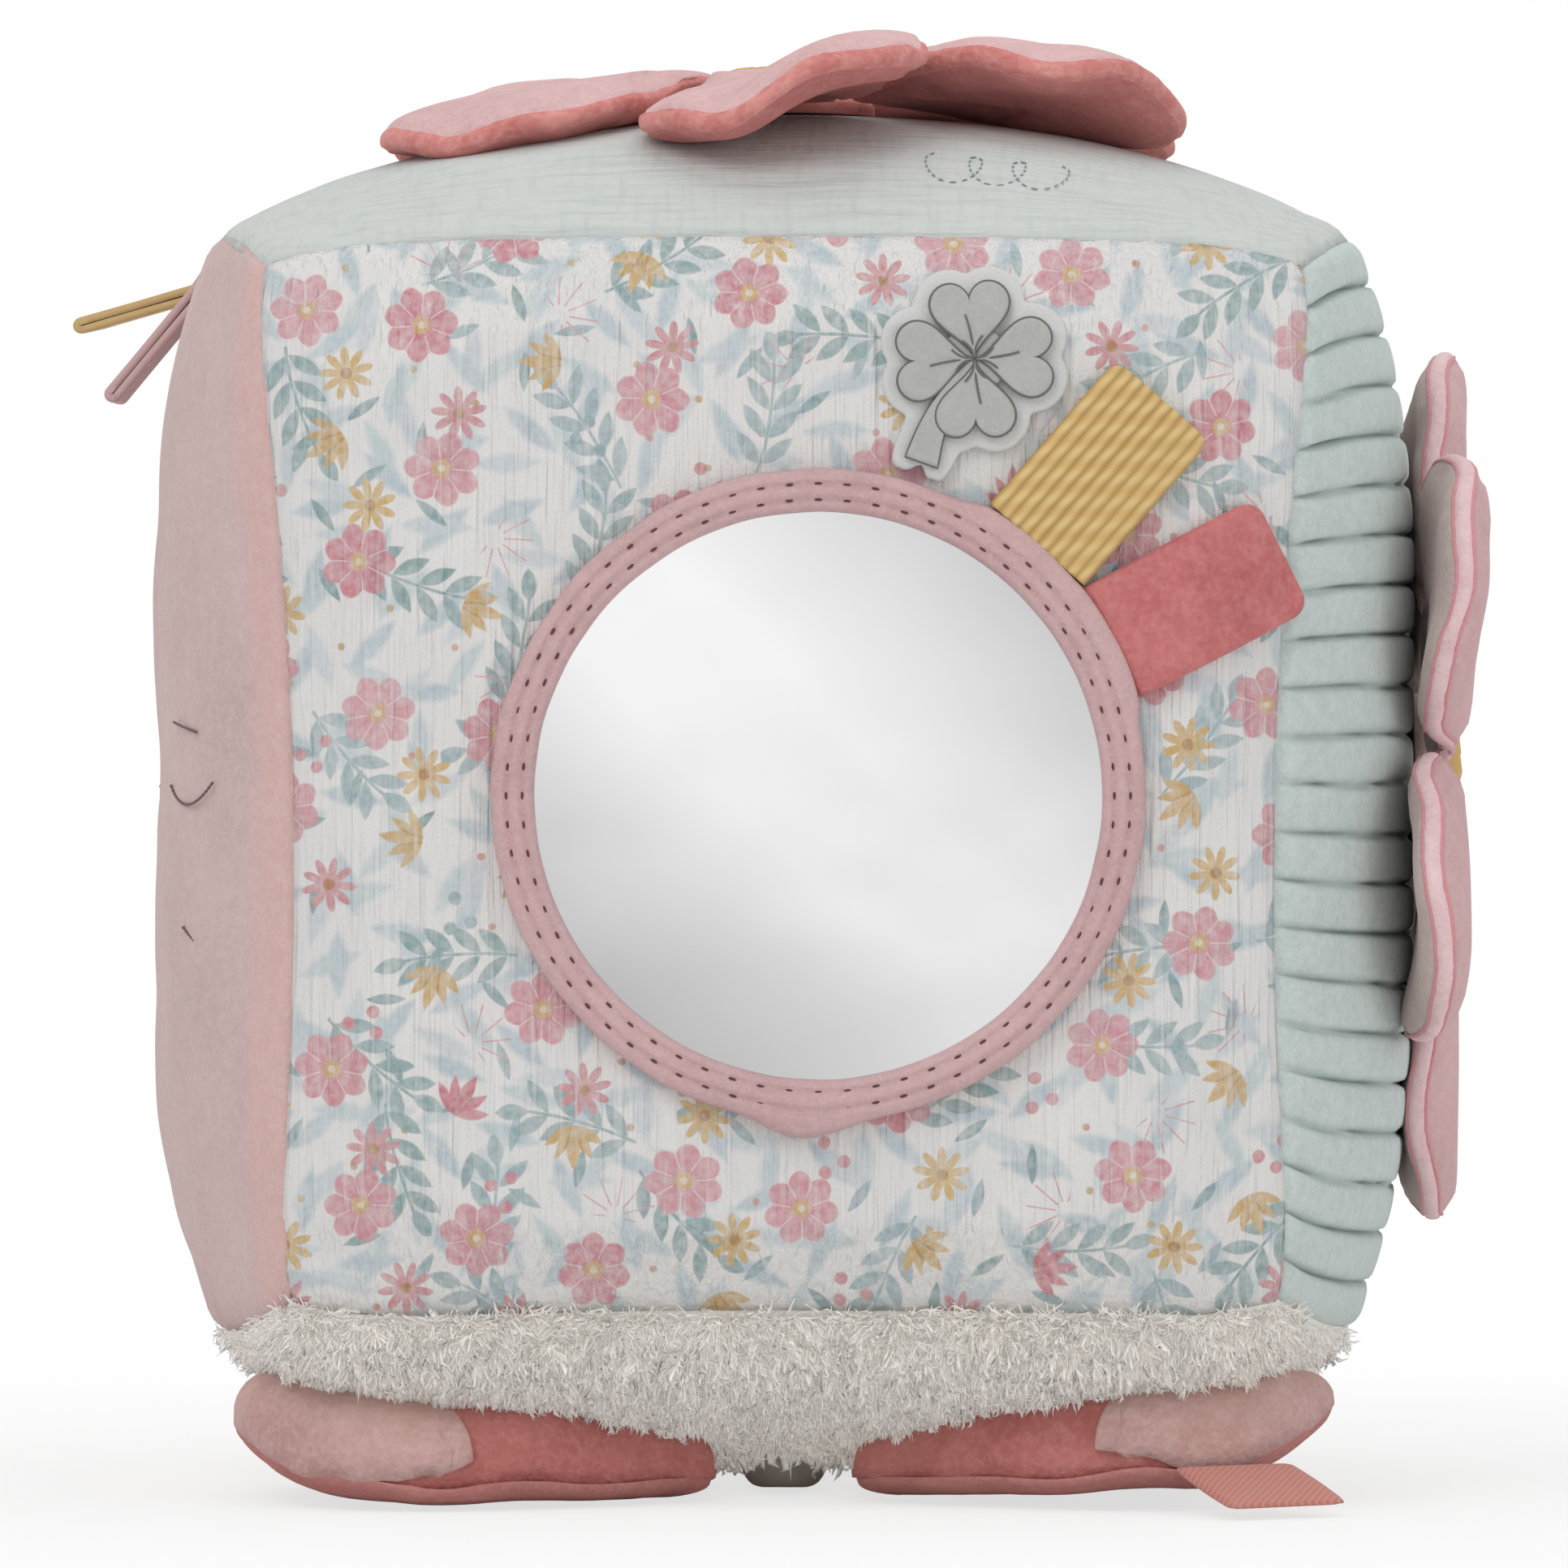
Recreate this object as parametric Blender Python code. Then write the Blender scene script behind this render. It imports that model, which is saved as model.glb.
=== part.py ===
"""A baby's soft activity block: a stuffed cube of six fabrics with a mirror, tags, flowers and a butterfly.

Metres, +Z up. The mirror faces -Y. The origin lies under the butterfly's body, on which the block stands.
"""

import math

import bmesh
import bpy
from mathutils import Matrix, Vector

# The stuffed cube
HALF_EDGE = 0.075
SEAM_HEIGHT = 0.026
SIDE_CROWN = 0.0157
TOP_CROWN = 0.0215
BELLY_CROWN = 0.022
FRONT_CROWN = 0.0128
BACK_CROWN = 0.012
FRONT_FLAT_RISE = 0.0055
LONG_SEAM_SWELL = 0.007
LONG_SEAM_RISE = 0.004
FRONT_SEAM_DRAW = 0.0055
FRONT_SEAM_SET = 0.002
TOP_SEAM_RISE = 0.0015
FOOT_DRAW = 0.0035
CORNER_TUCK = 0.003
CLOTH = 0.0015
GAP = 0.0003
FILLING_GAP = 0.0005
SIDE_ROUND_SHARE = 3.0
TOP_ROUND_SHARE = 2.4
BELLY_ROUND_SHARE = 2.6
FRONT_ROUND_SHARE = 4.0
CORNER_ROUND_SHARE = 8.0
PANEL_CELLS = 10

# The ribs of the right panel
RIBS = 22
RIB_DEPTH = 0.0018
RIB_SHOULDER_SHARE = 0.2
RIB_FADE_SHARE = 0.06

# The mirror
MIRROR_X = 0.0047
MIRROR_DROP = 0.0016
RIM_SEAM = 0.0035
MIRROR_THICKNESS = 0.0015
RIM_WIDTH = 0.006
RIM_RADIUS = 0.045
RIM_HEIGHT = 0.0034
RIM_LIP = 0.0012
RIM_ROUND = 0.0007
FOAM_INSET = 0.001
FOAM_THICKNESS = 0.008
ROUND_SIDES = 36

# The tags at the mirror's rim
TAG_HINGE_GAP = 0.0018
TAG_WIDTH = 0.0168
TAG_LENGTH = 0.024
CORAL_TAG_THICKNESS = 0.0022
MUSTARD_TAG_THICKNESS = 0.0026
CORAL_TAG_DEGREES = 27.5
MUSTARD_TAG_DEGREES = 48.9
CLOVER_DEGREES = 70.3
TAG_CORDS = 7
TAG_CORD_DEPTH = 0.0006
CLOVER_DISTANCE = 0.0165
CLOVER_BACKING_RADIUS = 0.0115
CLOVER_BACKING_LOBE = 0.0028
CLOVER_NECK_HALF_WIDTH = 0.0055
CLOVER_LEAF_RADIUS = 0.0125
CLOVER_HEART_RADIUS = 0.0028
CLOVER_STEM_HALF_WIDTH = 0.0013
CLOVER_STEM_LENGTH = 0.0135
CLOVER_BACKING_THICKNESS = 0.0016
CLOVER_LEAF_THICKNESS = 0.0014
CLOVER_TURN_DEGREES = 22.0
CLOVER_LOBE_POWER = 0.6
CLOVER_LEAF_POWER = 0.4
CLOVER_NOTCH_SHARE = 0.16
CLOVER_NOTCH_DEGREES = 9.0
CLOVER_POINTS = 64

# The ribbon loops in the upper left seam
LOOP_WIDTH = 0.0165
LOOP_THICKNESS = 0.0033
LOOP_SEAT_GAP = 0.0002
MUSTARD_LOOP_LENGTH = 0.0285
MUSTARD_LOOP_DEPTH = 0.058
MUSTARD_LOOP_DEGREES = -13.0
PINK_LOOP_LENGTH = 0.0285
PINK_LOOP_DEPTH = 0.036
PINK_LOOP_DEGREES = -50.0

# The two flowers
PETALS = 6
PETAL_HINGE_GAP = 0.0029
PETAL_LENGTH = 0.0463
PETAL_HALF_WIDTH = 0.0202
PETAL_ROOT_HALF_WIDTH = 0.0075
PETAL_THICKNESS = 0.0058
PETAL_LIFT = 0.0005
PETAL_SHOULDER_SHARE = 0.56
PETAL_RIM_SHARE = 0.5
PETAL_COLUMNS = 6
PETAL_ROW_SHARES = (0.0, 0.12, 0.42, 0.76, 1.0)
PETAL_RISE_POWER = 1.5
PETAL_LEAN_START_SHARE = 0.5
SIDE_FLOWER_TURN_DEGREES = -8.0
FLOWER_BASE_RADIUS = 0.01425
FLOWER_BASE_THICKNESS = 0.0024
FLOWER_BUTTON_INSET = 0.00145
FLOWER_BUTTON_HEIGHT = 0.0065
FLOWER_SIDES = 24
BUTTON_STEPS = 4
# For each petal, from the one that points forward: the tip's rise and the sideways lean, per length
TOP_PETAL_SHARES = (
    (-0.075, 0.25), (-0.05, -0.20), (-0.16, -0.03),
    (-0.10, 0.05), (-0.17, 0.04), (-0.21, -0.03),
)
SIDE_PETAL_SHARES = (
    (0.04, 0.06), (0.04, 0.10), (-0.07, 0.05),
    (-0.025, 0.03), (0.0, -0.05), (0.03, 0.05),
)

# The butterfly underneath
BODY_HALF_WIDTH = 0.0065
BODY_HALF_LENGTH = 0.046
BODY_HEIGHT = 0.006
BODY_RIM_SHARE = 0.45
BODY_END_SHARE = 0.2
BODY_ROWS = 9
BODY_COLUMNS = 5
WING_HINGE_X = 0.0096
WING_HINGE_HEIGHT = 0.0031
WING_ROUND = 0.0027
WING_CLEARANCE = 0.0009
WING_SPLIT = 0.043
WING_ROOT_PAD = 0.0026
WING_MIDDLE_PAD = 0.0095
WING_TIP_PAD = 0.0125
WING_RIM_SHARE = 0.5
WING_CURL = 0.008
WING_CURL_START = 0.056
RIGHT_WING_LIFT = 0.003
WING_COLUMNS = 8
WING_ROOT_ROWS = 3
FOREWING_SHOULDER = 0.052
FOREWING_TIP = 0.0785
FOREWING_ROOT_MIDDLE = 0.026
FOREWING_ROOT_HALF_WIDTH = 0.023
FOREWING_MIDDLE = 0.036
FOREWING_HALF_WIDTH = 0.033
HINDWING_SPLIT = 0.034
HINDWING_SHOULDER = 0.040
HINDWING_TIP = 0.062
HINDWING_ROOT_MIDDLE = 0.022
HINDWING_ROOT_HALF_WIDTH = 0.019
HINDWING_MIDDLE = 0.0275
HINDWING_HALF_WIDTH = 0.024
LABEL_WIDTH = 0.018
LABEL_LENGTH = 0.015
LABEL_THICKNESS = 0.0014
LABEL_DEGREES = -18.0

UP = Vector((0.0, 0.0, 1.0))
DOWN = Vector((0.0, 0.0, -1.0))
RIGHT = Vector((1.0, 0.0, 0.0))
LEFT = Vector((-1.0, 0.0, 0.0))
FRONT = Vector((0.0, -1.0, 0.0))
CENTRE_HEIGHT = HALF_EDGE + SEAM_HEIGHT
CENTRE = Vector((0.0, 0.0, CENTRE_HEIGHT))
LINING_SCALE_SHARE = 1.0 - CLOTH / HALF_EDGE
FILLING_SCALE_SHARE = LINING_SCALE_SHARE - FILLING_GAP / HALF_EDGE
SEAM_INSET_SHARE = GAP / (HALF_EDGE * math.sqrt(2.0))
BELLY_REACH = CENTRE_HEIGHT - BODY_HEIGHT - GAP
FRONT_REACH = HALF_EDGE + FRONT_FLAT_RISE
MIRROR_RADIUS = RIM_RADIUS - RIM_SEAM
MIRROR_SIGHT_RADIUS = RIM_RADIUS - RIM_WIDTH
FOAM_RADIUS = RIM_RADIUS - FOAM_INSET
TAG_HINGE_RADIUS = RIM_RADIUS + TAG_HINGE_GAP
FLOWER_BUTTON_RADIUS = FLOWER_BASE_RADIUS - FLOWER_BUTTON_INSET
PETAL_HINGE_RADIUS = FLOWER_BASE_RADIUS + PETAL_HINGE_GAP
WELD = GAP / 100.0
SHARP_EDGE_DEGREES = 40.0
# A folded or stuffed edge: how far it reaches back past its hinge, and how thick it is at its rim
ROOT_REACH_SHARE = 0.9
RIBBON_RIM_SHARE = 0.5
TAG_RIM_SHARE = 0.55
SEARCH_STEPS = 8
RIBBON_ROWS = 6
RIBBON_COLUMNS = 2
TAG_COLUMNS = 4
LABEL_ROWS = 3

# Colours: name, then red, green and blue, roughness, metallic
FINISHES = {
    "fibre": (0.86, 0.85, 0.82, 0.95, 0.0),
    "printed_cotton": (0.80, 0.79, 0.76, 0.85, 0.0),
    "dusty_velour": (0.60, 0.37, 0.36, 0.90, 0.0),
    "mint_plush": (0.44, 0.56, 0.53, 0.92, 0.0),
    "pale_mint_cloth": (0.62, 0.68, 0.66, 0.80, 0.0),
    "teddy": (0.66, 0.63, 0.56, 0.95, 0.0),
    "foam": (0.75, 0.75, 0.72, 0.90, 0.0),
    "mirror": (0.90, 0.90, 0.91, 0.05, 1.0),
    "rim_velour": (0.68, 0.38, 0.39, 0.85, 0.0),
    "coral_velour": (0.66, 0.18, 0.17, 0.88, 0.0),
    "mustard_ribbon": (0.68, 0.43, 0.12, 0.80, 0.0),
    "white_felt": (0.80, 0.80, 0.78, 0.85, 0.0),
    "grey_velour": (0.44, 0.45, 0.43, 0.85, 0.0),
    "petal_velour": (0.56, 0.30, 0.30, 0.90, 0.0),
    "pale_pink_velour": (0.62, 0.38, 0.36, 0.90, 0.0),
    "label_twill": (0.72, 0.31, 0.24, 0.75, 0.0),
}


def finish(name):
    """The material of this name, made once."""
    if name in bpy.data.materials:
        return bpy.data.materials[name]
    red, green, blue, roughness, metallic = FINISHES[name]
    made = bpy.data.materials.new(name)
    made.use_nodes = True
    shader = made.node_tree.nodes["Principled BSDF"]
    shader.inputs["Base Color"].default_value = (red, green, blue, 1.0)
    shader.inputs["Roughness"].default_value = roughness
    shader.inputs["Metallic"].default_value = metallic
    made.diffuse_color = (red, green, blue, 1.0)
    return made


def named_object(name, shape, finish_name, hinge=None):
    """Turns a bmesh into a named object, with its faces out, hung on its hinge if it has one."""
    bmesh.ops.recalc_face_normals(shape, faces=shape.faces)
    mesh = bpy.data.meshes.new(name)
    shape.to_mesh(mesh)
    shape.free()
    mesh.shade_smooth()
    mesh.set_sharp_from_angle(angle=math.radians(SHARP_EDGE_DEGREES))
    mesh.materials.append(finish(finish_name))
    made = bpy.data.objects.new(name, mesh)
    bpy.context.scene.collection.objects.link(made)
    made.parent = hinge
    return made


def hinge_at(name, place, outward, away):
    """An empty on a joint's axis. The piece runs along its X and lifts towards its Z, about its -Y."""
    across = away.cross(outward)
    turn = Matrix((outward, across, away)).transposed().to_4x4()
    made = bpy.data.objects.new("hinge_" + name, None)
    made.matrix_world = Matrix.Translation(place) @ turn
    bpy.context.scene.collection.objects.link(made)
    return made


def slab(rows, columns, near, far):
    """A closed sheet between two grids of points, given by near(row, column) and far(row, column)."""
    shape = bmesh.new()
    sides = []
    for side in (near, far):
        points = [[side(i, j) for j in range(columns + 1)] for i in range(rows + 1)]
        sides.append([[shape.verts.new(point) for point in row] for row in points])
    top, under = sides
    for grid in sides:
        for i in range(rows):
            for j in range(columns):
                shape.faces.new((grid[i][j], grid[i + 1][j], grid[i + 1][j + 1], grid[i][j + 1]))
    edge = [(i, 0) for i in range(rows)] + [(rows, j) for j in range(columns)]
    edge += [(i, columns) for i in range(rows, 0, -1)] + [(0, j) for j in range(columns, 0, -1)]
    for here, there in zip(edge, edge[1:] + edge[:1]):
        (i, j), (k, m) = here, there
        shape.faces.new((top[i][j], top[k][m], under[k][m], under[i][j]))
    return shape


def turned(profile, sides, place, axis):
    """A round solid: the profile of (radius, height) points is spun about the axis through place."""
    shape = bmesh.new()
    points = [shape.verts.new((radius, 0.0, height)) for radius, height in profile]
    loop = points if profile[0][0] == 0.0 and profile[-1][0] == 0.0 else points + points[:1]
    edges = [shape.edges.new(pair) for pair in zip(loop, loop[1:])]
    bmesh.ops.spin(
        shape, geom=points + edges, cent=(0, 0, 0), axis=UP, angle=math.tau, steps=sides, use_merge=True
    )
    bmesh.ops.remove_doubles(shape, verts=shape.verts, dist=WELD)
    turn = UP.rotation_difference(axis).to_matrix().to_4x4()
    bmesh.ops.transform(shape, matrix=Matrix.Translation(place) @ turn, verts=shape.verts)
    return shape


def fullness(across, along, round_share):
    """How much of a panel's crown stands at this place, from 0 at its seams to 1 in the middle."""
    return (1.0 - abs(across) ** round_share) * (1.0 - abs(along) ** round_share)


def tuck(across, along):
    return CORNER_TUCK * abs(across * along) ** CORNER_ROUND_SHARE


def reach_x(v, w):
    """Half the cube's width: the long seams swell, the seams of front and back are drawn in."""
    seams = LONG_SEAM_SWELL * (1.0 - v * v) * w * w - FRONT_SEAM_DRAW * (1.0 - w * w) * v * v
    foot = FOOT_DRAW * ((1.0 - w) / 2.0) ** 2 * v * v
    return HALF_EDGE + seams - foot - tuck(v, w) + SIDE_CROWN * fullness(v, w, SIDE_ROUND_SHARE)


def reach_y(u, w, front):
    """Half the cube's depth, pressed flat in front by the mirror."""
    seams = FRONT_SEAM_SET * ((1.0 - w * w) * u * u + (1.0 - u * u) * w * w)
    crown = FRONT_CROWN if front else BACK_CROWN
    reach = HALF_EDGE - seams - tuck(u, w) + crown * fullness(u, w, FRONT_ROUND_SHARE)
    return min(reach, FRONT_REACH) if front else reach


def reach_z(u, v, top):
    """Half the cube's height, pressed flat below where it lies on the butterfly."""
    seams = LONG_SEAM_RISE * (1.0 - v * v) * u * u
    rise = TOP_SEAM_RISE * (1.0 - u * u) * v * v
    reach = HALF_EDGE + seams - tuck(u, v)
    if top:
        return reach + rise + TOP_CROWN * fullness(u, v, TOP_ROUND_SHARE)
    return min(reach - rise + BELLY_CROWN * fullness(u, v, BELLY_ROUND_SHARE), BELLY_REACH)


def skin(u, v, w):
    """The cube's outer skin, from the cube's middle, at a place on a unit cube."""
    return Vector((u * reach_x(v, w), v * reach_y(u, w, v < 0.0), w * reach_z(u, v, w > 0.0)))


def on_face(axis, sign, a, b):
    """The place on a unit cube's face: a runs along the axis after the face's own, b along the next."""
    place = [0.0, 0.0, 0.0]
    place[axis] = sign
    place[(axis + 1) % 3] = a
    place[(axis + 2) % 3] = b
    return place


def seam_line(cell, cells):
    """The share of a panel's half width at a grid line, which stops short of the seam."""
    return (1.0 - SEAM_INSET_SHARE) * (2.0 * cell / cells - 1.0)


def panel(name, axis, sign, finish_name):
    """One cloth side of the cube, cut off at each seam on the slant, so that its neighbours meet it."""

    def outer(i, j):
        place = on_face(axis, sign, seam_line(i, PANEL_CELLS), seam_line(j, PANEL_CELLS))
        return CENTRE + skin(*place)

    def inner(i, j):
        return CENTRE + (outer(i, j) - CENTRE) * LINING_SCALE_SHARE

    return named_object(name, slab(PANEL_CELLS, PANEL_CELLS, outer, inner), finish_name)


def ribbed_panel(name, finish_name):
    """The right side, whose ribs run from front to back, with a narrow sewn furrow between each two."""
    shape = bmesh.new()
    steps = [0.0, RIB_SHOULDER_SHARE, 1.0 - RIB_SHOULDER_SHARE]
    lines = [(rib + step, step == 0.0) for rib in range(RIBS) for step in steps] + [(RIBS, True)]
    outer, inner = [], []
    for height, furrow in lines:
        w = seam_line(height, RIBS)
        row = []
        for j in range(PANEL_CELLS + 1):
            v = seam_line(j, PANEL_CELLS)
            fade = min(1.0, (1.0 - SEAM_INSET_SHARE - abs(v)) / RIB_FADE_SHARE)
            inside = 0.0 < height < RIBS
            sink = RIB_DEPTH * max(0.0, fade) if furrow and inside else 0.0
            row.append(shape.verts.new(CENTRE + skin(1.0, v, w) + LEFT * sink))
        outer.append(row)
        if furrow:
            inside = [skin(1.0, seam_line(j, PANEL_CELLS), w) for j in range(PANEL_CELLS + 1)]
            inner.append([shape.verts.new(CENTRE + point * LINING_SCALE_SHARE) for point in inside])
    for grid in (outer, inner):
        for low, high in zip(grid, grid[1:]):
            for j in range(PANEL_CELLS):
                shape.faces.new((low[j], high[j], high[j + 1], low[j + 1]))
    per_rib = len(steps)
    for rib in range(RIBS):
        for j in (0, PANEL_CELLS):
            edge = [outer[rib * per_rib + k][j] for k in range(per_rib + 1)]
            shape.faces.new(edge + [inner[rib + 1][j], inner[rib][j]])
    for row, lining in ((outer[0], inner[0]), (outer[-1], inner[-1])):
        for j in range(PANEL_CELLS):
            shape.faces.new((row[j], row[j + 1], lining[j + 1], lining[j]))
    return named_object(name, shape, finish_name)


def filling(mirror_place):
    """The fibre filling, as one block under the cloth, with a pocket for the mirror's foam."""
    shape = bmesh.new()
    shares = [2.0 * cell / PANEL_CELLS - 1.0 for cell in range(PANEL_CELLS + 1)]
    for axis in range(3):
        for sign in (-1.0, 1.0):
            grid = []
            for a in shares:
                places = [on_face(axis, sign, a, b) for b in shares]
                points = [CENTRE + skin(*place) * FILLING_SCALE_SHARE for place in places]
                grid.append([shape.verts.new(point) for point in points])
            for low, high in zip(grid, grid[1:]):
                for j in range(PANEL_CELLS):
                    shape.faces.new((low[j], high[j], high[j + 1], low[j + 1]))
    bmesh.ops.remove_doubles(shape, verts=shape.verts, dist=WELD)
    made = named_object("fibre_filling", shape, "fibre")
    depth = foam_front() - FOAM_THICKNESS - FILLING_GAP
    radius = FOAM_RADIUS + GAP
    profile = ((0.0, depth), (radius, depth), (radius, FRONT_REACH), (0.0, FRONT_REACH))
    cutter = named_object("foam_pocket", turned(profile, ROUND_SIDES, mirror_place, FRONT), "foam")
    cutter.hide_render = True
    cutter.display_type = "WIRE"
    cut = made.modifiers.new("foam_pocket", "BOOLEAN")
    cut.operation = "DIFFERENCE"
    cut.object = cutter
    return made


def foam_front():
    """How far the foam disc reaches forward from the cube's middle."""
    return FRONT_REACH * LINING_SCALE_SHARE - GAP


def mirror():
    """The mirror, the foam behind its panel and the sewn ring over its edge. Returns the mirror's place."""
    place = CENTRE + Vector((MIRROR_X, 0.0, -MIRROR_DROP))
    front = foam_front()
    back = front - FOAM_THICKNESS
    foam = ((0.0, back), (FOAM_RADIUS, back), (FOAM_RADIUS, front), (0.0, front))
    named_object("mirror_foam", turned(foam, ROUND_SIDES, place, FRONT), "foam")
    seat = FRONT_REACH + GAP
    glass = seat + MIRROR_THICKNESS
    disc = ((0.0, seat), (MIRROR_RADIUS, seat), (MIRROR_RADIUS, glass), (0.0, glass))
    named_object("mirror_disc", turned(disc, ROUND_SIDES, place, FRONT), "mirror")
    clear = MIRROR_RADIUS + GAP
    lip = glass + GAP
    crest = seat + RIM_HEIGHT
    middle = (RIM_RADIUS + MIRROR_SIGHT_RADIUS) / 2.0
    ring = (
        (clear, seat),
        (RIM_RADIUS, seat),
        (RIM_RADIUS, crest - RIM_ROUND),
        (RIM_RADIUS - RIM_ROUND, crest),
        (middle, crest),
        (MIRROR_SIGHT_RADIUS, lip + RIM_LIP),
        (MIRROR_SIGHT_RADIUS, lip),
        (clear, lip),
    )
    named_object("mirror_rim", turned(ring, ROUND_SIDES, place, FRONT), "rim_velour")
    return place


def front_skin(x, height):
    """How far the front panel reaches forward at a place given from the cube's middle."""
    u, w = x / HALF_EDGE, height / HALF_EDGE
    for _ in range(SEARCH_STEPS):
        u, w = x / reach_x(-1.0, w), height / reach_z(u, -1.0, height > 0.0)
    return reach_y(max(-1.0, min(1.0, u)), max(-1.0, min(1.0, w)), True)


def rim_direction(degrees):
    """From the mirror's middle towards its rim, with 0 to the right and 90 up."""
    angle = math.radians(degrees)
    return RIGHT * math.cos(angle) + UP * math.sin(angle)


def rim_hinge(name, mirror_place, degrees, thickness):
    outward = rim_direction(degrees)
    height = FRONT_REACH + GAP + thickness / 2.0
    place = mirror_place + outward * TAG_HINGE_RADIUS + FRONT * height
    return hinge_at(name, place, outward, FRONT)


def ribbon_tag(name, mirror_place, degrees, thickness, finish_name, cords):
    """A folded ribbon that lies on the front panel, and turns about its sewn end."""
    hinge = rim_hinge(name, mirror_place, degrees, thickness)
    outward = rim_direction(degrees)
    across = FRONT.cross(outward)
    half = thickness / 2.0
    rows, columns = RIBBON_ROWS, max(TAG_COLUMNS, 2 * cords)

    def lift(i, j):
        along = -half * ROOT_REACH_SHARE + (TAG_LENGTH + half) * i / rows
        side = TAG_WIDTH * (j / columns - 0.5)
        place = mirror_place - CENTRE + outward * (TAG_HINGE_RADIUS + along) + across * side
        sag = FRONT_REACH - front_skin(place.x, place.z)
        edge = TAG_RIM_SHARE if i in (0, rows) or j in (0, columns) else 1.0
        cord = TAG_CORD_DEPTH if cords and j % 2 == 0 else 0.0
        return along, side, -sag, half * edge - cord * edge

    def face(i, j):
        along, side, level, bulk = lift(i, j)
        return Vector((along, side, level + bulk))

    def back(i, j):
        along, side, level, bulk = lift(i, j)
        return Vector((along, side, level - bulk))

    return named_object(name, slab(rows, columns, face, back), finish_name, hinge)


def outline_plate(name, outline, low, high, finish_name, hinge):
    """A flat piece cut to an outline and extruded to its thickness."""
    shape = bmesh.new()
    base = shape.faces.new([shape.verts.new((x, y, low)) for x, y in outline])
    grown = bmesh.ops.extrude_face_region(shape, geom=[base])
    risen = [item for item in grown["geom"] if isinstance(item, bmesh.types.BMVert)]
    bmesh.ops.translate(shape, verts=risen, vec=(0.0, 0.0, high - low))
    return named_object(name, shape, finish_name, hinge)


def strip_reach(angle, half_width, length):
    """How far a strip from the middle towards angle 0 reaches in a direction."""
    if math.cos(angle) <= 0.0:
        return 0.0
    if abs(math.sin(angle)) * length < math.cos(angle) * half_width:
        return length / math.cos(angle)
    return half_width / abs(math.sin(angle))


def clover(mirror_place):
    """The four-leaf clover on its felt backing, which hangs at the rim by a neck."""
    hinge = rim_hinge("clover_tag", mirror_place, CLOVER_DEGREES, CLOVER_BACKING_THICKNESS)
    turn = math.radians(CLOVER_TURN_DEGREES)
    backing, leaf = [], []
    for point in range(CLOVER_POINTS):
        angle = math.tau * point / CLOVER_POINTS
        lobe = abs(math.cos(2.0 * (angle - turn)))
        neck = strip_reach(angle, CLOVER_NECK_HALF_WIDTH, CLOVER_DISTANCE)
        radius = max(neck, CLOVER_BACKING_RADIUS + CLOVER_BACKING_LOBE * lobe**CLOVER_LOBE_POWER)
        backing.append((CLOVER_DISTANCE - radius * math.cos(angle), radius * math.sin(angle)))
        from_axis = (angle - turn + math.pi / 4.0) % (math.pi / 2.0) - math.pi / 4.0
        dip = math.exp(-((from_axis / math.radians(CLOVER_NOTCH_DEGREES)) ** 2))
        lobe = max(0.0, math.cos(2.0 * from_axis)) ** CLOVER_LEAF_POWER
        heart = CLOVER_LEAF_RADIUS * (1.0 - CLOVER_NOTCH_SHARE * dip) * lobe
        stem = strip_reach(angle, CLOVER_STEM_HALF_WIDTH, CLOVER_STEM_LENGTH)
        radius = max(CLOVER_HEART_RADIUS, heart, stem)
        leaf.append((CLOVER_DISTANCE - radius * math.cos(angle), radius * math.sin(angle)))
    half = CLOVER_BACKING_THICKNESS / 2.0
    outline_plate("clover_backing", backing, -half, half, "white_felt", hinge)
    low = half + GAP
    outline_plate("clover_leaf", leaf, low, low + CLOVER_LEAF_THICKNESS, "grey_velour", hinge)


def seam_loop(name, depth, length, degrees, finish_name):
    """A folded ribbon sewn into the upper left seam, seen edge on from the front."""
    reach = reach_y(-1.0, 1.0, False)
    seam = CENTRE + skin(-1.0, depth / reach, 1.0)
    ends = [skin(-1.0, (depth + side * LOOP_WIDTH / 2.0) / reach, 1.0) for side in (-1.0, 1.0)]
    ahead = (ends[0] - ends[1]).normalized()
    corner = (LEFT + UP).normalized()
    place = seam + corner * (LOOP_THICKNESS / 2.0 + LOOP_SEAT_GAP)
    angle = math.radians(degrees)
    level = LEFT * math.cos(angle) + UP * math.sin(angle)
    outward = (level - ahead * level.dot(ahead)).normalized()
    hinge = hinge_at(name, place, outward, outward.cross(ahead))
    half = LOOP_THICKNESS / 2.0
    rows, columns = RIBBON_ROWS, RIBBON_COLUMNS

    def bulk(i):
        along = (length + half) * i / rows - half * ROOT_REACH_SHARE
        return along, half * (RIBBON_RIM_SHARE if i in (0, rows) else 1.0)

    def face(i, j):
        along, thick = bulk(i)
        return Vector((along, LOOP_WIDTH * (j / columns - 0.5), thick))

    def back(i, j):
        along, thick = bulk(i)
        return Vector((along, LOOP_WIDTH * (j / columns - 0.5), -thick))

    return named_object(name, slab(rows, columns, face, back), finish_name, hinge)


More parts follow.
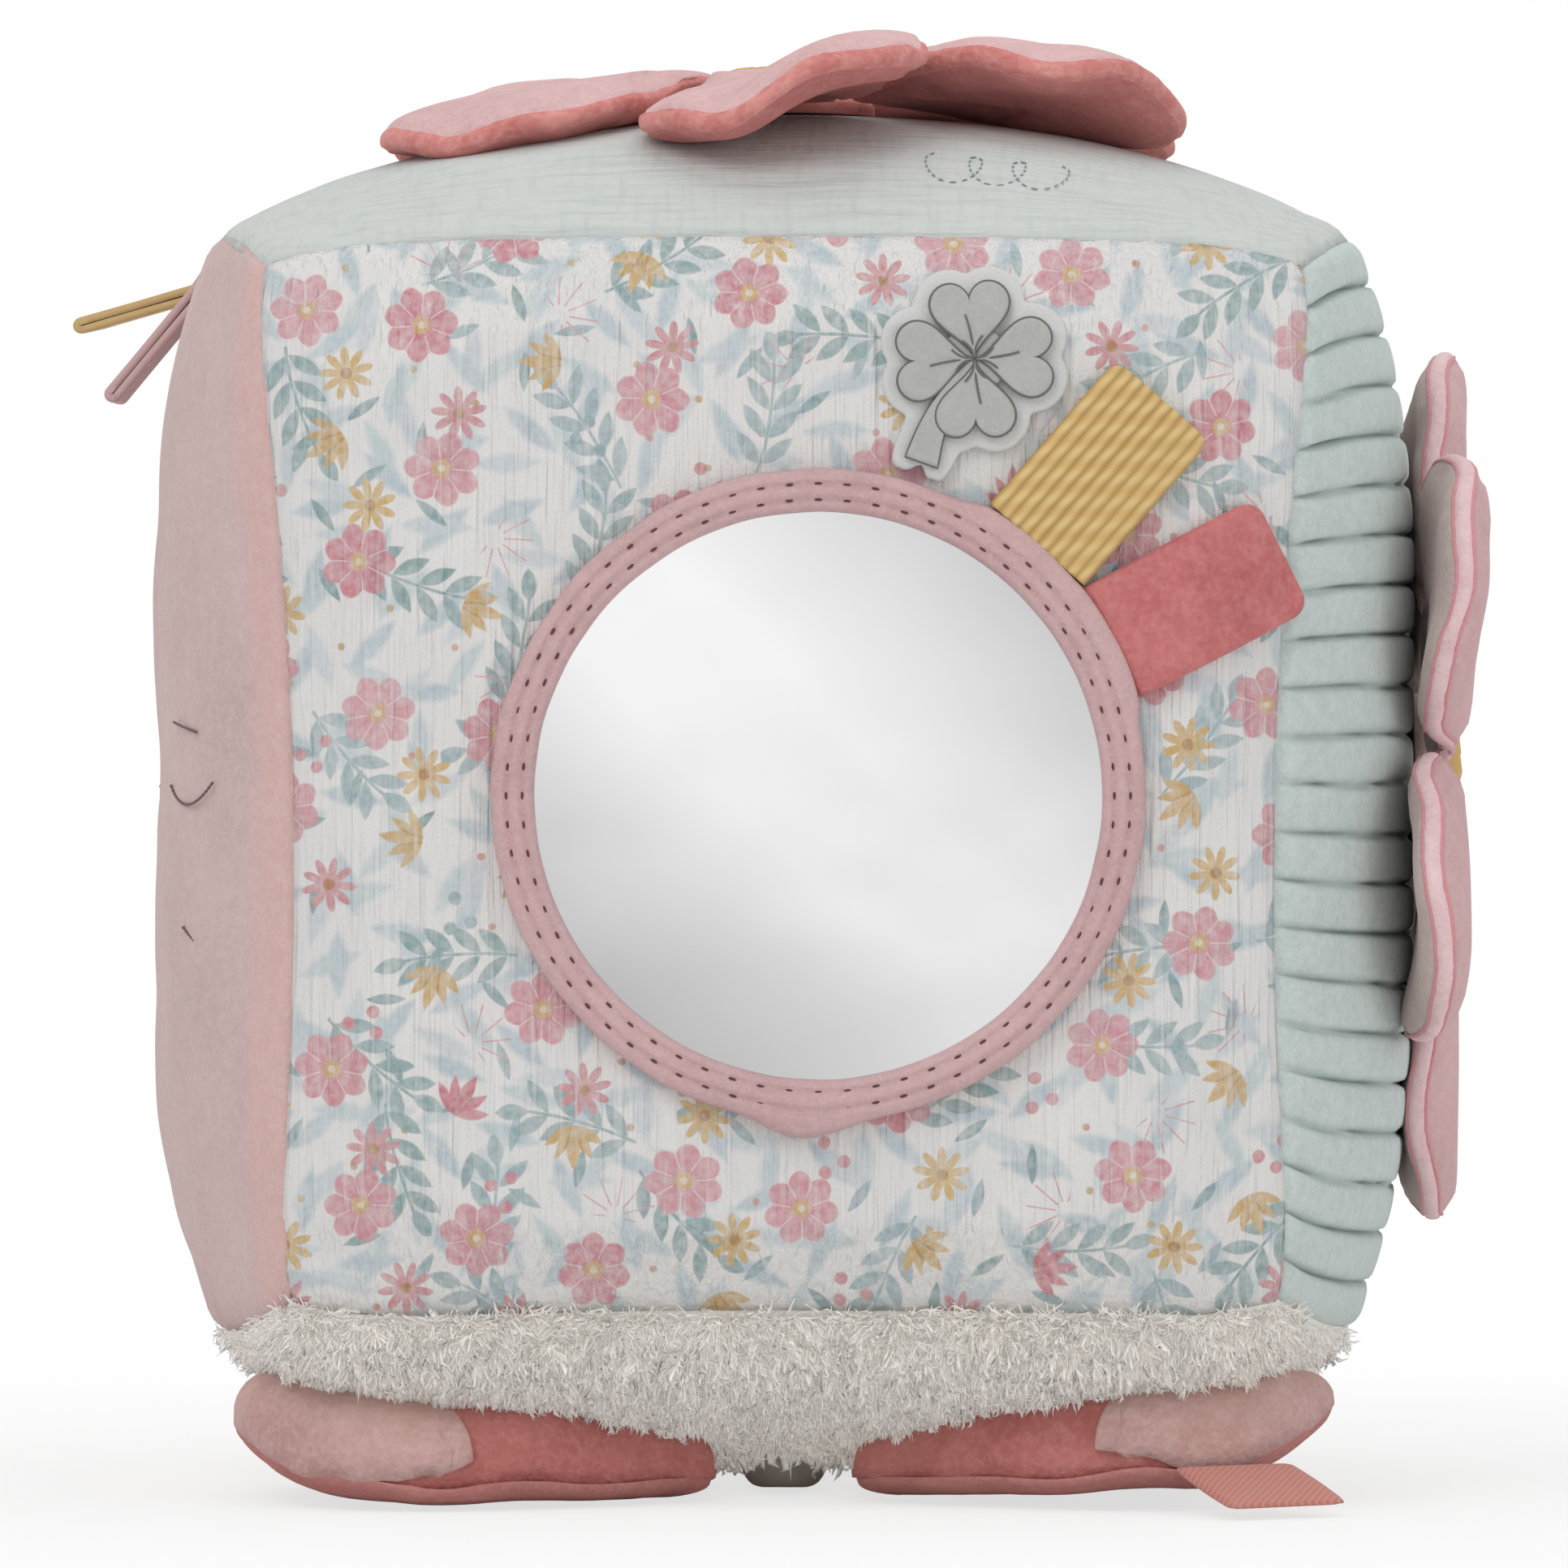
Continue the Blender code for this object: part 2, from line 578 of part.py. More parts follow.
def petal_layer(name, hinge, side, rise_share, lean_share, finish_name):
    """Half of a stuffed petal: side 1 is its face, side -1 its lining. Its root is round."""
    radius = PETAL_THICKNESS / 2.0
    shoulder = PETAL_LENGTH * PETAL_SHOULDER_SHARE
    start = -ROOT_REACH_SHARE * radius
    thick = radius - GAP / 2.0
    rows = len(PETAL_ROW_SHARES) - 1

    def place(i, j):
        bearing = math.pi * (j / PETAL_COLUMNS - 0.5)
        end = shoulder + (PETAL_LENGTH - shoulder) * math.cos(bearing)
        x = start + (end - start) * PETAL_ROW_SHARES[i]
        spread = math.sin(math.pi / 2.0 * max(0.0, min(1.0, x / shoulder)))
        width = PETAL_ROOT_HALF_WIDTH + (PETAL_HALF_WIDTH - PETAL_ROOT_HALF_WIDTH) * spread
        y = width * math.sin(bearing)
        rim = PETAL_RIM_SHARE if i == rows or j in (0, PETAL_COLUMNS) else 1.0
        root = math.sqrt(max(0.0, radius**2 - min(x, 0.0) ** 2)) / radius
        run = max(0.0, x) / PETAL_LENGTH
        lean = lean_share * y * min(1.0, run / PETAL_LEAN_START_SHARE)
        bend = rise_share * PETAL_LENGTH * run**PETAL_RISE_POWER + lean
        return x, y, bend, thick * root * rim

    def outside(i, j):
        x, y, bend, bulk = place(i, j)
        return Vector((x, y, bend + side * (GAP / 2.0 + bulk)))

    def seam(i, j):
        x, y, bend, _ = place(i, j)
        return Vector((x, y, bend + side * GAP / 2.0))

    return named_object(name, slab(rows, PETAL_COLUMNS, outside, seam), finish_name, hinge)


def flower(name, place, away, first, turn_degrees, shares):
    """A round base with a stuffed button, and six stuffed petals hinged around it."""
    low = GAP
    high = low + FLOWER_BASE_THICKNESS
    base = ((0.0, low), (FLOWER_BASE_RADIUS, low), (FLOWER_BASE_RADIUS, high), (0.0, high))
    named_object(name + "_base", turned(base, FLOWER_SIDES, place, away), "petal_velour")
    seat = high + GAP
    top = seat + FLOWER_BUTTON_HEIGHT
    button = [(0.0, seat), (FLOWER_BUTTON_RADIUS, seat)]
    for step in range(1, BUTTON_STEPS):
        angle = math.pi / 2.0 * step / BUTTON_STEPS
        height = seat + FLOWER_BUTTON_HEIGHT * math.sin(angle)
        button.append((FLOWER_BUTTON_RADIUS * math.cos(angle), height))
    button.append((0.0, top))
    named_object(name + "_button", turned(button, FLOWER_SIDES, place, away), "mustard_ribbon")
    level = GAP + PETAL_LIFT + PETAL_THICKNESS / 2.0
    for petal, (rise_share, lean_share) in enumerate(shares):
        angle = math.radians(turn_degrees + 360.0 * petal / PETALS)
        outward = (Matrix.Rotation(angle, 3, away) @ first).normalized()
        title = f"{name}_petal_{petal + 1}"
        hinge = hinge_at(title, place + outward * PETAL_HINGE_RADIUS + away * level, outward, away)
        petal_layer(title + "_face", hinge, 1.0, rise_share, lean_share, "petal_velour")
        petal_layer(title + "_lining", hinge, -1.0, rise_share, lean_share, "coral_velour")


def belly_height(x, y):
    """The height of the belly's skin above a place under the cube."""
    u, v = x / HALF_EDGE, y / HALF_EDGE
    for _ in range(SEARCH_STEPS):
        u, v = x / reach_x(v, -1.0), y / reach_y(u, -1.0, y < 0.0)
    return CENTRE_HEIGHT - reach_z(max(-1.0, min(1.0, u)), max(-1.0, min(1.0, v)), False)


class WingPlan:
    """The outline of one wing, seen from below: how wide it is and where it ends."""

    def __init__(self, sign, split, shoulder, tip, root_middle, root_half, middle, half, lift):
        self.sign = sign
        self.split = split
        self.shoulder = shoulder
        self.tip = tip
        self.root = (root_middle, root_half)
        self.wide = (middle, half)
        self.lift = lift

    def end(self, bearing):
        return self.shoulder + (self.tip - self.shoulder) * math.cos(bearing)

    def place(self, reach, bearing):
        """The point in plan at this distance from the block's middle plane."""
        run = (reach - WING_HINGE_X) / (self.shoulder - WING_HINGE_X)
        spread = math.sin(math.pi / 2.0 * max(0.0, min(1.0, run)))
        middle = self.root[0] + (self.wide[0] - self.root[0]) * spread
        half = self.root[1] + (self.wide[1] - self.root[1]) * spread
        return self.sign * reach, middle + half * math.sin(bearing)

    def seam_height(self, reach):
        """The height of the seam between the wing's two layers, which curls up at the tip."""
        beyond = max(0.0, reach - WING_CURL_START) / (FOREWING_TIP - WING_CURL_START)
        run = max(0.0, reach - WING_HINGE_X) / (self.tip - WING_HINGE_X)
        return WING_HINGE_HEIGHT + WING_CURL * beyond**2 + self.lift * run


def root_roundness(reach):
    """The share of full thickness near the hinge, where the wing's root is round about its axis."""
    inward = min(0.0, reach - WING_HINGE_X)
    return math.sqrt(max(0.0, WING_ROUND**2 - inward**2)) / WING_ROUND


def wing_layer(name, hinge, plan, upper, first, last, finish_name):
    """One padded layer of a wing, from its first to its last row. The rows of all its layers line up."""
    to_hinge = hinge.matrix_world.inverted()
    start = WING_HINGE_X - ROOT_REACH_SHARE * WING_ROUND

    def corner(i, j):
        row = first + i
        bearing = math.pi * (j / WING_COLUMNS - 0.5)
        if row <= WING_ROOT_ROWS:
            reach = start + (plan.split - start) * row / WING_ROOT_ROWS
        else:
            reach = plan.split + (plan.end(bearing) - plan.split) * (row / WING_ROOT_ROWS - 1.0)
        if upper and row == WING_ROOT_ROWS and (first > 0 or last == row):
            reach += GAP / 2.0 if first > 0 else -GAP / 2.0
        x, y = plan.place(reach, bearing)
        rim = WING_RIM_SHARE if j in (0, WING_COLUMNS) or row == 2 * WING_ROOT_ROWS else 1.0
        return reach, x, y, rim

    def seam(i, j):
        reach, x, y, _ = corner(i, j)
        height = plan.seam_height(reach) + (GAP if upper else -GAP) / 2.0
        return to_hinge @ Vector((x, y, height))

    def outside(i, j):
        reach, x, y, rim = corner(i, j)
        height = plan.seam_height(reach)
        if not upper:
            bulk = (WING_ROUND - GAP / 2.0) * root_roundness(reach) * rim
            return to_hinge @ Vector((x, y, height - GAP / 2.0 - bulk))
        if reach < WING_SPLIT:
            run = max(0.0, reach - WING_HINGE_X) / (WING_SPLIT - WING_HINGE_X)
            pad = WING_ROOT_PAD + (WING_MIDDLE_PAD - WING_ROOT_PAD) * run
        else:
            run = min(1.0, (reach - WING_SPLIT) / (FOREWING_TIP - WING_SPLIT))
            pad = WING_MIDDLE_PAD + (WING_TIP_PAD - WING_MIDDLE_PAD) * math.sin(math.pi * run)
        top = height + GAP / 2.0 + pad * root_roundness(reach) * rim
        return to_hinge @ Vector((x, y, min(top, belly_height(x, y) - WING_CLEARANCE)))

    return named_object(name, slab(last - first, WING_COLUMNS, outside, seam), finish_name, hinge)


def wings(side_name, sign):
    """The forewing and the hindwing of one side, each hinged along the butterfly's body."""
    outward = RIGHT * sign
    place = Vector((sign * WING_HINGE_X, 0.0, WING_HINGE_HEIGHT))
    lift = RIGHT_WING_LIFT if sign > 0.0 else 0.0
    front = WingPlan(
        sign, WING_SPLIT, FOREWING_SHOULDER, FOREWING_TIP,
        -FOREWING_ROOT_MIDDLE, FOREWING_ROOT_HALF_WIDTH, -FOREWING_MIDDLE, FOREWING_HALF_WIDTH, lift,
    )
    name = side_name + "_forewing"
    hinge = hinge_at(name, place + FRONT * FOREWING_ROOT_MIDDLE, outward, DOWN)
    bpy.context.view_layer.update()
    wing_layer(name + "_lining", hinge, front, False, 0, 2 * WING_ROOT_ROWS, "coral_velour")
    wing_layer(name + "_root_lobe", hinge, front, True, 0, WING_ROOT_ROWS, "coral_velour")
    rows = (WING_ROOT_ROWS, 2 * WING_ROOT_ROWS)
    wing_layer(name + "_tip_lobe", hinge, front, True, *rows, "pale_pink_velour")
    back = WingPlan(
        sign, HINDWING_SPLIT, HINDWING_SHOULDER, HINDWING_TIP,
        HINDWING_ROOT_MIDDLE, HINDWING_ROOT_HALF_WIDTH, HINDWING_MIDDLE, HINDWING_HALF_WIDTH, 0.0,
    )
    name = side_name + "_hindwing"
    hinge = hinge_at(name, place - FRONT * HINDWING_ROOT_MIDDLE, outward, DOWN)
    bpy.context.view_layer.update()
    wing_layer(name + "_lining", hinge, back, False, 0, 2 * WING_ROOT_ROWS, "coral_velour")
    wing_layer(name + "_face", hinge, back, True, 0, 2 * WING_ROOT_ROWS, "pale_pink_velour")
    return front


def butterfly_body():
    """The stuffed roll between the wings. Its underside is flat where the block stands on it."""
    rows, columns = BODY_ROWS, BODY_COLUMNS

    def share(i):
        return 2.0 * i / rows - 1.0

    def half_width(i):
        straight = BODY_HALF_LENGTH - BODY_HALF_WIDTH
        beyond = max(0.0, abs(share(i)) * BODY_HALF_LENGTH - straight)
        return BODY_HALF_WIDTH * math.sqrt(max(BODY_END_SHARE, 1.0 - (beyond / BODY_HALF_WIDTH) ** 2))

    def under(i, j):
        return Vector((half_width(i) * (2.0 * j / columns - 1.0), BODY_HALF_LENGTH * share(i), 0.0))

    def upper(i, j):
        point = under(i, j)
        rim = BODY_RIM_SHARE if i in (0, rows) or j in (0, columns) else 1.0
        return point + UP * BODY_HEIGHT * rim

    return named_object("butterfly_body", slab(rows, columns, upper, under), "coral_velour")


def sewn_label(plan):
    """A bare folded ribbon at the right forewing's front edge, which slopes down to the floor."""
    bearing = math.pi * (1.0 / WING_COLUMNS - 0.5)
    reach = plan.end(bearing)
    x, y = plan.place(reach, bearing)
    slope = Vector((
        (plan.tip - plan.shoulder) * -math.sin(bearing),
        plan.wide[1] * math.cos(bearing),
        0.0,
    )).normalized()
    ahead = slope.cross(UP)
    half = LABEL_THICKNESS / 2.0
    height = plan.seam_height(reach)
    place = Vector((x, y, height)) + ahead * (half + GAP)
    tilt = math.radians(LABEL_DEGREES)
    outward = ahead * math.cos(tilt) + UP * math.sin(tilt)
    away = UP * math.cos(tilt) - ahead * math.sin(tilt)
    hinge = hinge_at("sewn_label", place, outward, away)
    rows, columns = LABEL_ROWS, RIBBON_COLUMNS

    def level(i, j, side):
        along = (LABEL_LENGTH + half) * i / rows - half * ROOT_REACH_SHARE
        thick = half * (RIBBON_RIM_SHARE if i in (0, rows) else 1.0)
        return Vector((along, LABEL_WIDTH * (j / columns - 0.5), side * thick))

    shape = slab(rows, columns, lambda i, j: level(i, j, 1.0), lambda i, j: level(i, j, -1.0))
    made = named_object("sewn_label", shape, "label_twill", hinge)
    wing_hinge = bpy.data.objects["hinge_right_forewing"]
    bpy.context.view_layer.update()
    hinge.parent = wing_hinge
    hinge.matrix_parent_inverse = wing_hinge.matrix_world.inverted()
    return made


def build():
    for old in list(bpy.data.objects):
        bpy.data.objects.remove(old, do_unlink=True)
    panel("front_panel", 1, -1.0, "printed_cotton")
    panel("back_panel", 1, 1.0, "printed_cotton")
    panel("left_panel", 0, -1.0, "dusty_velour")
    ribbed_panel("right_panel", "mint_plush")
    panel("top_panel", 2, 1.0, "pale_mint_cloth")
    panel("bottom_panel", 2, -1.0, "teddy")
    mirror_place = mirror()
    filling(mirror_place)
    tags = (
        ("coral_tag", CORAL_TAG_DEGREES, CORAL_TAG_THICKNESS, "coral_velour", 0),
        ("mustard_tag", MUSTARD_TAG_DEGREES, MUSTARD_TAG_THICKNESS, "mustard_ribbon", TAG_CORDS),
    )
    for name, degrees, thickness, finish_name, cords in tags:
        ribbon_tag(name, mirror_place, degrees, thickness, finish_name, cords)
    clover(mirror_place)
    loops = (
        ("mustard_loop", MUSTARD_LOOP_DEPTH, MUSTARD_LOOP_LENGTH, MUSTARD_LOOP_DEGREES, "mustard_ribbon"),
        ("pink_loop", PINK_LOOP_DEPTH, PINK_LOOP_LENGTH, PINK_LOOP_DEGREES, "dusty_velour"),
    )
    for name, depth, length, degrees, finish_name in loops:
        seam_loop(name, depth, length, degrees, finish_name)
    crown = CENTRE + skin(0.0, 0.0, 1.0)
    flower("top_flower", crown, UP, FRONT, 0.0, TOP_PETAL_SHARES)
    crown = CENTRE + skin(1.0, 0.0, 0.0)
    flower("side_flower", crown, RIGHT, UP, SIDE_FLOWER_TURN_DEGREES, SIDE_PETAL_SHARES)
    butterfly_body()
    wings("left", -1.0)
    right_plan = wings("right", 1.0)
    sewn_label(right_plan)


build()
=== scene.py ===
"""The looks of a baby's soft activity block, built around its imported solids, in metres."""
import math

import bmesh
import bpy
import numpy as np
from mathutils import Matrix, Vector, noise


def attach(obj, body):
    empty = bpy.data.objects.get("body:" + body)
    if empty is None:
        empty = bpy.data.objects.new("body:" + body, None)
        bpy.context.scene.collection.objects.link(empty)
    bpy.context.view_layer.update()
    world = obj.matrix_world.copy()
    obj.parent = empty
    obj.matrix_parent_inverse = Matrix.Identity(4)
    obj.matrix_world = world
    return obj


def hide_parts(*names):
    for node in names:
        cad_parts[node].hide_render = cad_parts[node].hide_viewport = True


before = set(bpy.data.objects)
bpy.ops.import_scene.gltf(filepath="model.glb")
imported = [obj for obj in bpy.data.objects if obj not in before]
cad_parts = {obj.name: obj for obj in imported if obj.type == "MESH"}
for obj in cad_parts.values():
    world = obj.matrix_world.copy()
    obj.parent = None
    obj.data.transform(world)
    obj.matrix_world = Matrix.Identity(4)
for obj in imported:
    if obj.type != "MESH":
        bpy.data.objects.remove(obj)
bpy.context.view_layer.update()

BLOCK = "block"

# The air between a piece and what it lies on
GAP = 0.0003

# The stuffed cube
HALF_EDGE = 0.075
SEAM_HEIGHT = 0.026
SIDE_CROWN = 0.0157
TOP_CROWN = 0.0215
BELLY_CROWN = 0.022
FRONT_CROWN = 0.0128
BACK_CROWN = 0.012
FRONT_FLAT_RISE = 0.0055
LONG_SEAM_SWELL = 0.007
LONG_SEAM_RISE = 0.004
FRONT_SEAM_DRAW = 0.0055
FRONT_SEAM_SET = 0.002
TOP_SEAM_RISE = 0.0015
FOOT_DRAW = 0.0035
CORNER_TUCK = 0.003
CLOTH = 0.0012
FACE_SHARE = 1.0 - 0.0003
CENTRE_HEIGHT = HALF_EDGE + SEAM_HEIGHT
CENTRE = np.array((0.0, 0.0, CENTRE_HEIGHT))
BODY_HEIGHT = 0.006
BELLY_REACH = CENTRE_HEIGHT - BODY_HEIGHT - GAP
FRONT_REACH = HALF_EDGE + FRONT_FLAT_RISE
PANEL_CELLS = 96
RIBS = 22
RIB_DEPTH = 0.0017
FLOWER_REACH = 0.058
FILLING_UNDER = 0.0036
FOAM_POCKET_FLOOR = -0.0685

# The mirror and its sewn ring
MIRROR_MIDDLE = Vector((0.0047, 0.0, CENTRE_HEIGHT - 0.0016))
RIM_RADIUS = 0.045
SIGHT_RADIUS = 0.039
RIM_HEIGHT = 0.0034
FOAM_RADIUS = 0.044
FOAM_THICKNESS = 0.008
TAG_HINGE_RADIUS = 0.0468
TAG_LENGTH = 0.0252
MUSTARD_CORDS = 11
STITCH_RADII = (0.0406, 0.0428)
STITCH_GROOVE = 0.00055
# The ring's edge reaches over the tags' ends between these degrees
TAG_COVER, TAGS_FROM, TAGS_TO = 0.0014, 15.0, 61.5
MIRROR_FILM = 0.0015

# The cloth simulation that blows up the stuffed pieces
SWELL_SCALE = 10.0
SWELL_FRAMES = 20

UP = Vector((0.0, 0.0, 1.0))
RIGHT = Vector((1.0, 0.0, 0.0))
FRONT = Vector((0.0, -1.0, 0.0))


# ---------------------------------------------------------------- shader and geometry nodes

class Term:
    """A socket in a node tree. An expression on it adds the Math nodes that it needs."""

    def __init__(self, nodes, socket):
        self.nodes = nodes
        self.socket = socket

    def __getitem__(self, output):
        """Another output of the node this socket is on."""
        return Term(self.nodes, self.socket.node.outputs[output])

    def math(self, operation, *others):
        return self.nodes.add("ShaderNodeMath", {"operation": operation}, dict(enumerate((self, *others))))

    def __add__(self, other):
        return self.math("ADD", other)

    def __radd__(self, other):
        return self.math("ADD", other)

    def __sub__(self, other):
        return self.math("SUBTRACT", other)

    def __rsub__(self, other):
        return self.nodes.add("ShaderNodeMath", {"operation": "SUBTRACT"}, {0: other, 1: self})

    def __mul__(self, other):
        return self.math("MULTIPLY", other)

    def __rmul__(self, other):
        return self.math("MULTIPLY", other)

    def __truediv__(self, other):
        return self.math("DIVIDE", other)

    def __pow__(self, other):
        return self.math("POWER", other)

    def __abs__(self):
        return self.math("ABSOLUTE")

    def __lt__(self, other):
        return self.math("LESS_THAN", other)

    def __gt__(self, other):
        return self.math("GREATER_THAN", other)

    def clamp(self):
        return self.math("MAXIMUM", 0.0).math("MINIMUM", 1.0)


class Nodes:
    """A node tree, and the one way to add a node to it."""

    def __init__(self, tree):
        self.tree = tree

    def add(self, kind, settings=None, values=None, output=0):
        made = self.tree.nodes.new(kind)
        for name, value in (settings or {}).items():
            setattr(made, name, value)
        for key, value in (values or {}).items():
            socket = made.inputs[key]
            if isinstance(value, Term):
                self.tree.links.new(value.socket, socket)
            else:
                socket.default_value = value
        return Term(self, made.outputs[output])

    def mix(self, factor, first, second):
        """Blends two colours."""
        return self.add("ShaderNodeMix", {"data_type": "RGBA"}, {0: factor, 6: first, 7: second}, 2)

    def vector(self, x, y, z):
        return self.add("ShaderNodeCombineXYZ", None, {0: x, 1: y, 2: z})

    def noise(self, place, scale, detail=2.0, roughness=0.5):
        values = {"Vector": place, "Scale": scale, "Detail": detail, "Roughness": roughness}
        return self.add("ShaderNodeTexNoise", None, values, "Fac")

    def stretched(self, place, x, y, z):
        """The place with each axis multiplied."""
        return self.vector_math("MULTIPLY", {0: place, 1: (x, y, z)})

    def vector_math(self, operation, values, output=0):
        return self.add("ShaderNodeVectorMath", {"operation": operation}, values, output)

    def named(self, name, kind="FLOAT"):
        """An attribute of the mesh that a Geometry Nodes tree works on."""
        return self.add("GeometryNodeInputNamedAttribute", {"data_type": kind}, {"Name": name})


def ink(red, green, blue):
    """A colour given as it looks on a screen, from 0 to 255."""
    shares = [value / 255.0 for value in (red, green, blue)]
    return tuple(s / 12.92 if s <= 0.04045 else ((s + 0.055) / 1.055) ** 2.4 for s in shares) + (1.0,)


class Finish(Nodes):
    """A material with its Principled shader. Constants go on the shader's own sockets."""

    def __init__(self, name, roughness=0.9, sheen=0.0, tint=(1.0, 1.0, 1.0, 1.0), **constants):
        self.material = bpy.data.materials.new(name)
        self.material.use_nodes = True
        super().__init__(self.material.node_tree)
        self.shader = self.tree.nodes["Principled BSDF"]
        self.shader.inputs["Roughness"].default_value = roughness
        self.shader.inputs["Sheen Weight"].default_value = sheen
        self.shader.inputs["Sheen Roughness"].default_value = 0.45
        self.shader.inputs["Sheen Tint"].default_value = tint
        self.shader.inputs["Specular IOR Level"].default_value = 0.2
        for socket, value in constants.items():
            self.shader.inputs[socket.replace("_", " ")].default_value = value
        self.place = self.add("ShaderNodeTexCoord", None, None, "Object")
        parts = self.add("ShaderNodeSeparateXYZ", None, {0: self.place})
        self.x, self.y, self.z = parts, parts["Y"], parts["Z"]

    def uv_places(self):
        """The UV's U and V."""
        parts = self.add("ShaderNodeSeparateXYZ", None, {0: self.add("ShaderNodeUVMap", {"uv_map": "UVMap"})})
        return parts, parts["Y"]

    def paint(self, colour):
        if isinstance(colour, Term):
            self.tree.links.new(colour.socket, self.shader.inputs["Base Color"])
        else:
            self.shader.inputs["Base Color"].default_value = colour

    def emboss(self, height, distance):
        """Gives the surface relief: height from 0 to 1, times the distance in metres."""
        bump = self.add("ShaderNodeBump", None, {"Strength": 1.0, "Distance": distance, "Height": height})
        self.tree.links.new(bump.socket, self.shader.inputs["Normal"])


def velour(name, colour, shade, light, pile=0.00035, grain=1500.0, streak=55.0, strip=None):
    """Short pile: fine grain, with broad patches where the pile lies another way."""
    made = Finish(name, 0.95, 0.35, light)
    fine = made.noise(made.place, grain, 3.0, 0.6)
    tuft = made.noise(made.place, grain * 0.33, 2.0, 0.55)
    brush = made.noise(made.place, streak, 3.0, 0.55)
    base = made.mix((brush - 0.32) * 2.4, shade, colour)
    if strip:
        base = made.mix(((made.y + 0.064 + made.z * 0.02) / -0.0045 + 0.5 + (tuft - 0.5) * 0.9).clamp(), base, strip)
    base = made.mix(((fine * 0.6 + tuft * 0.4) - 0.42) * 1.7, base, light)
    made.paint(base)
    made.emboss(fine * 0.55 + tuft * 0.45 + brush * 0.3, pile)
    return made.material


# ---------------------------------------------------------------- the printed muslin

def within(away, limit, soft):
    """1 where a distance is under its limit, 0 beyond, with a soft edge."""
    return (limit - away) / soft + 0.5


def leaf_mask(px, pz, turn, reach, half_width, soft, start=0.0):
    """A pointed leaf that starts at a distance from the motif's middle and points a way."""
    cos, sin = math.cos(turn), math.sin(turn)
    along = (px * cos + pz * sin - start) / reach * 2.0 - 1.0
    across = abs(pz * cos - px * sin)
    return within(across, (1.0 - along * along) * half_width, soft)


def scattered(made, x, z, cell, seed, turn, offset=0.0):
    """Cells in staggered rows. Gives the place in a cell's own turned frame, and its three chances."""
    cos, sin = math.cos(turn), math.sin(turn)
    across, along = (x * cos + z * sin) / cell + offset, (z * cos - x * sin) / cell + offset
    row = along.math("FLOOR")
    across = across + row.math("FLOORED_MODULO", 2.0) * 0.5
    column = across.math("FLOOR")
    cell_number = made.vector(column, row, seed)
    dice = made.add("ShaderNodeTexWhiteNoise", {"noise_dimensions": "3D"}, {"Vector": cell_number}, "Color")
    chances = made.add("ShaderNodeSeparateColor", None, {0: dice})
    first, second, third = chances, chances["Green"], chances["Blue"]
    px = (across - column - 0.5 - (first - 0.5) * 0.16) * cell
    pz = (along - row - 0.5 - (second - 0.5) * 0.16) * cell
    angle = third * math.tau
    cosine, sine = angle.math("COSINE"), angle.math("SINE")
    return (px * cosine + pz * sine, pz * cosine - px * sine), (first, second, third)


def distance(across, along):
    """How far a place is from its motif's middle."""
    return (across * across + along * along).math("SQRT")


def between(chance, low, high):
    """1 where a chance falls between two limits."""
    return (chance > low) * (chance < high)


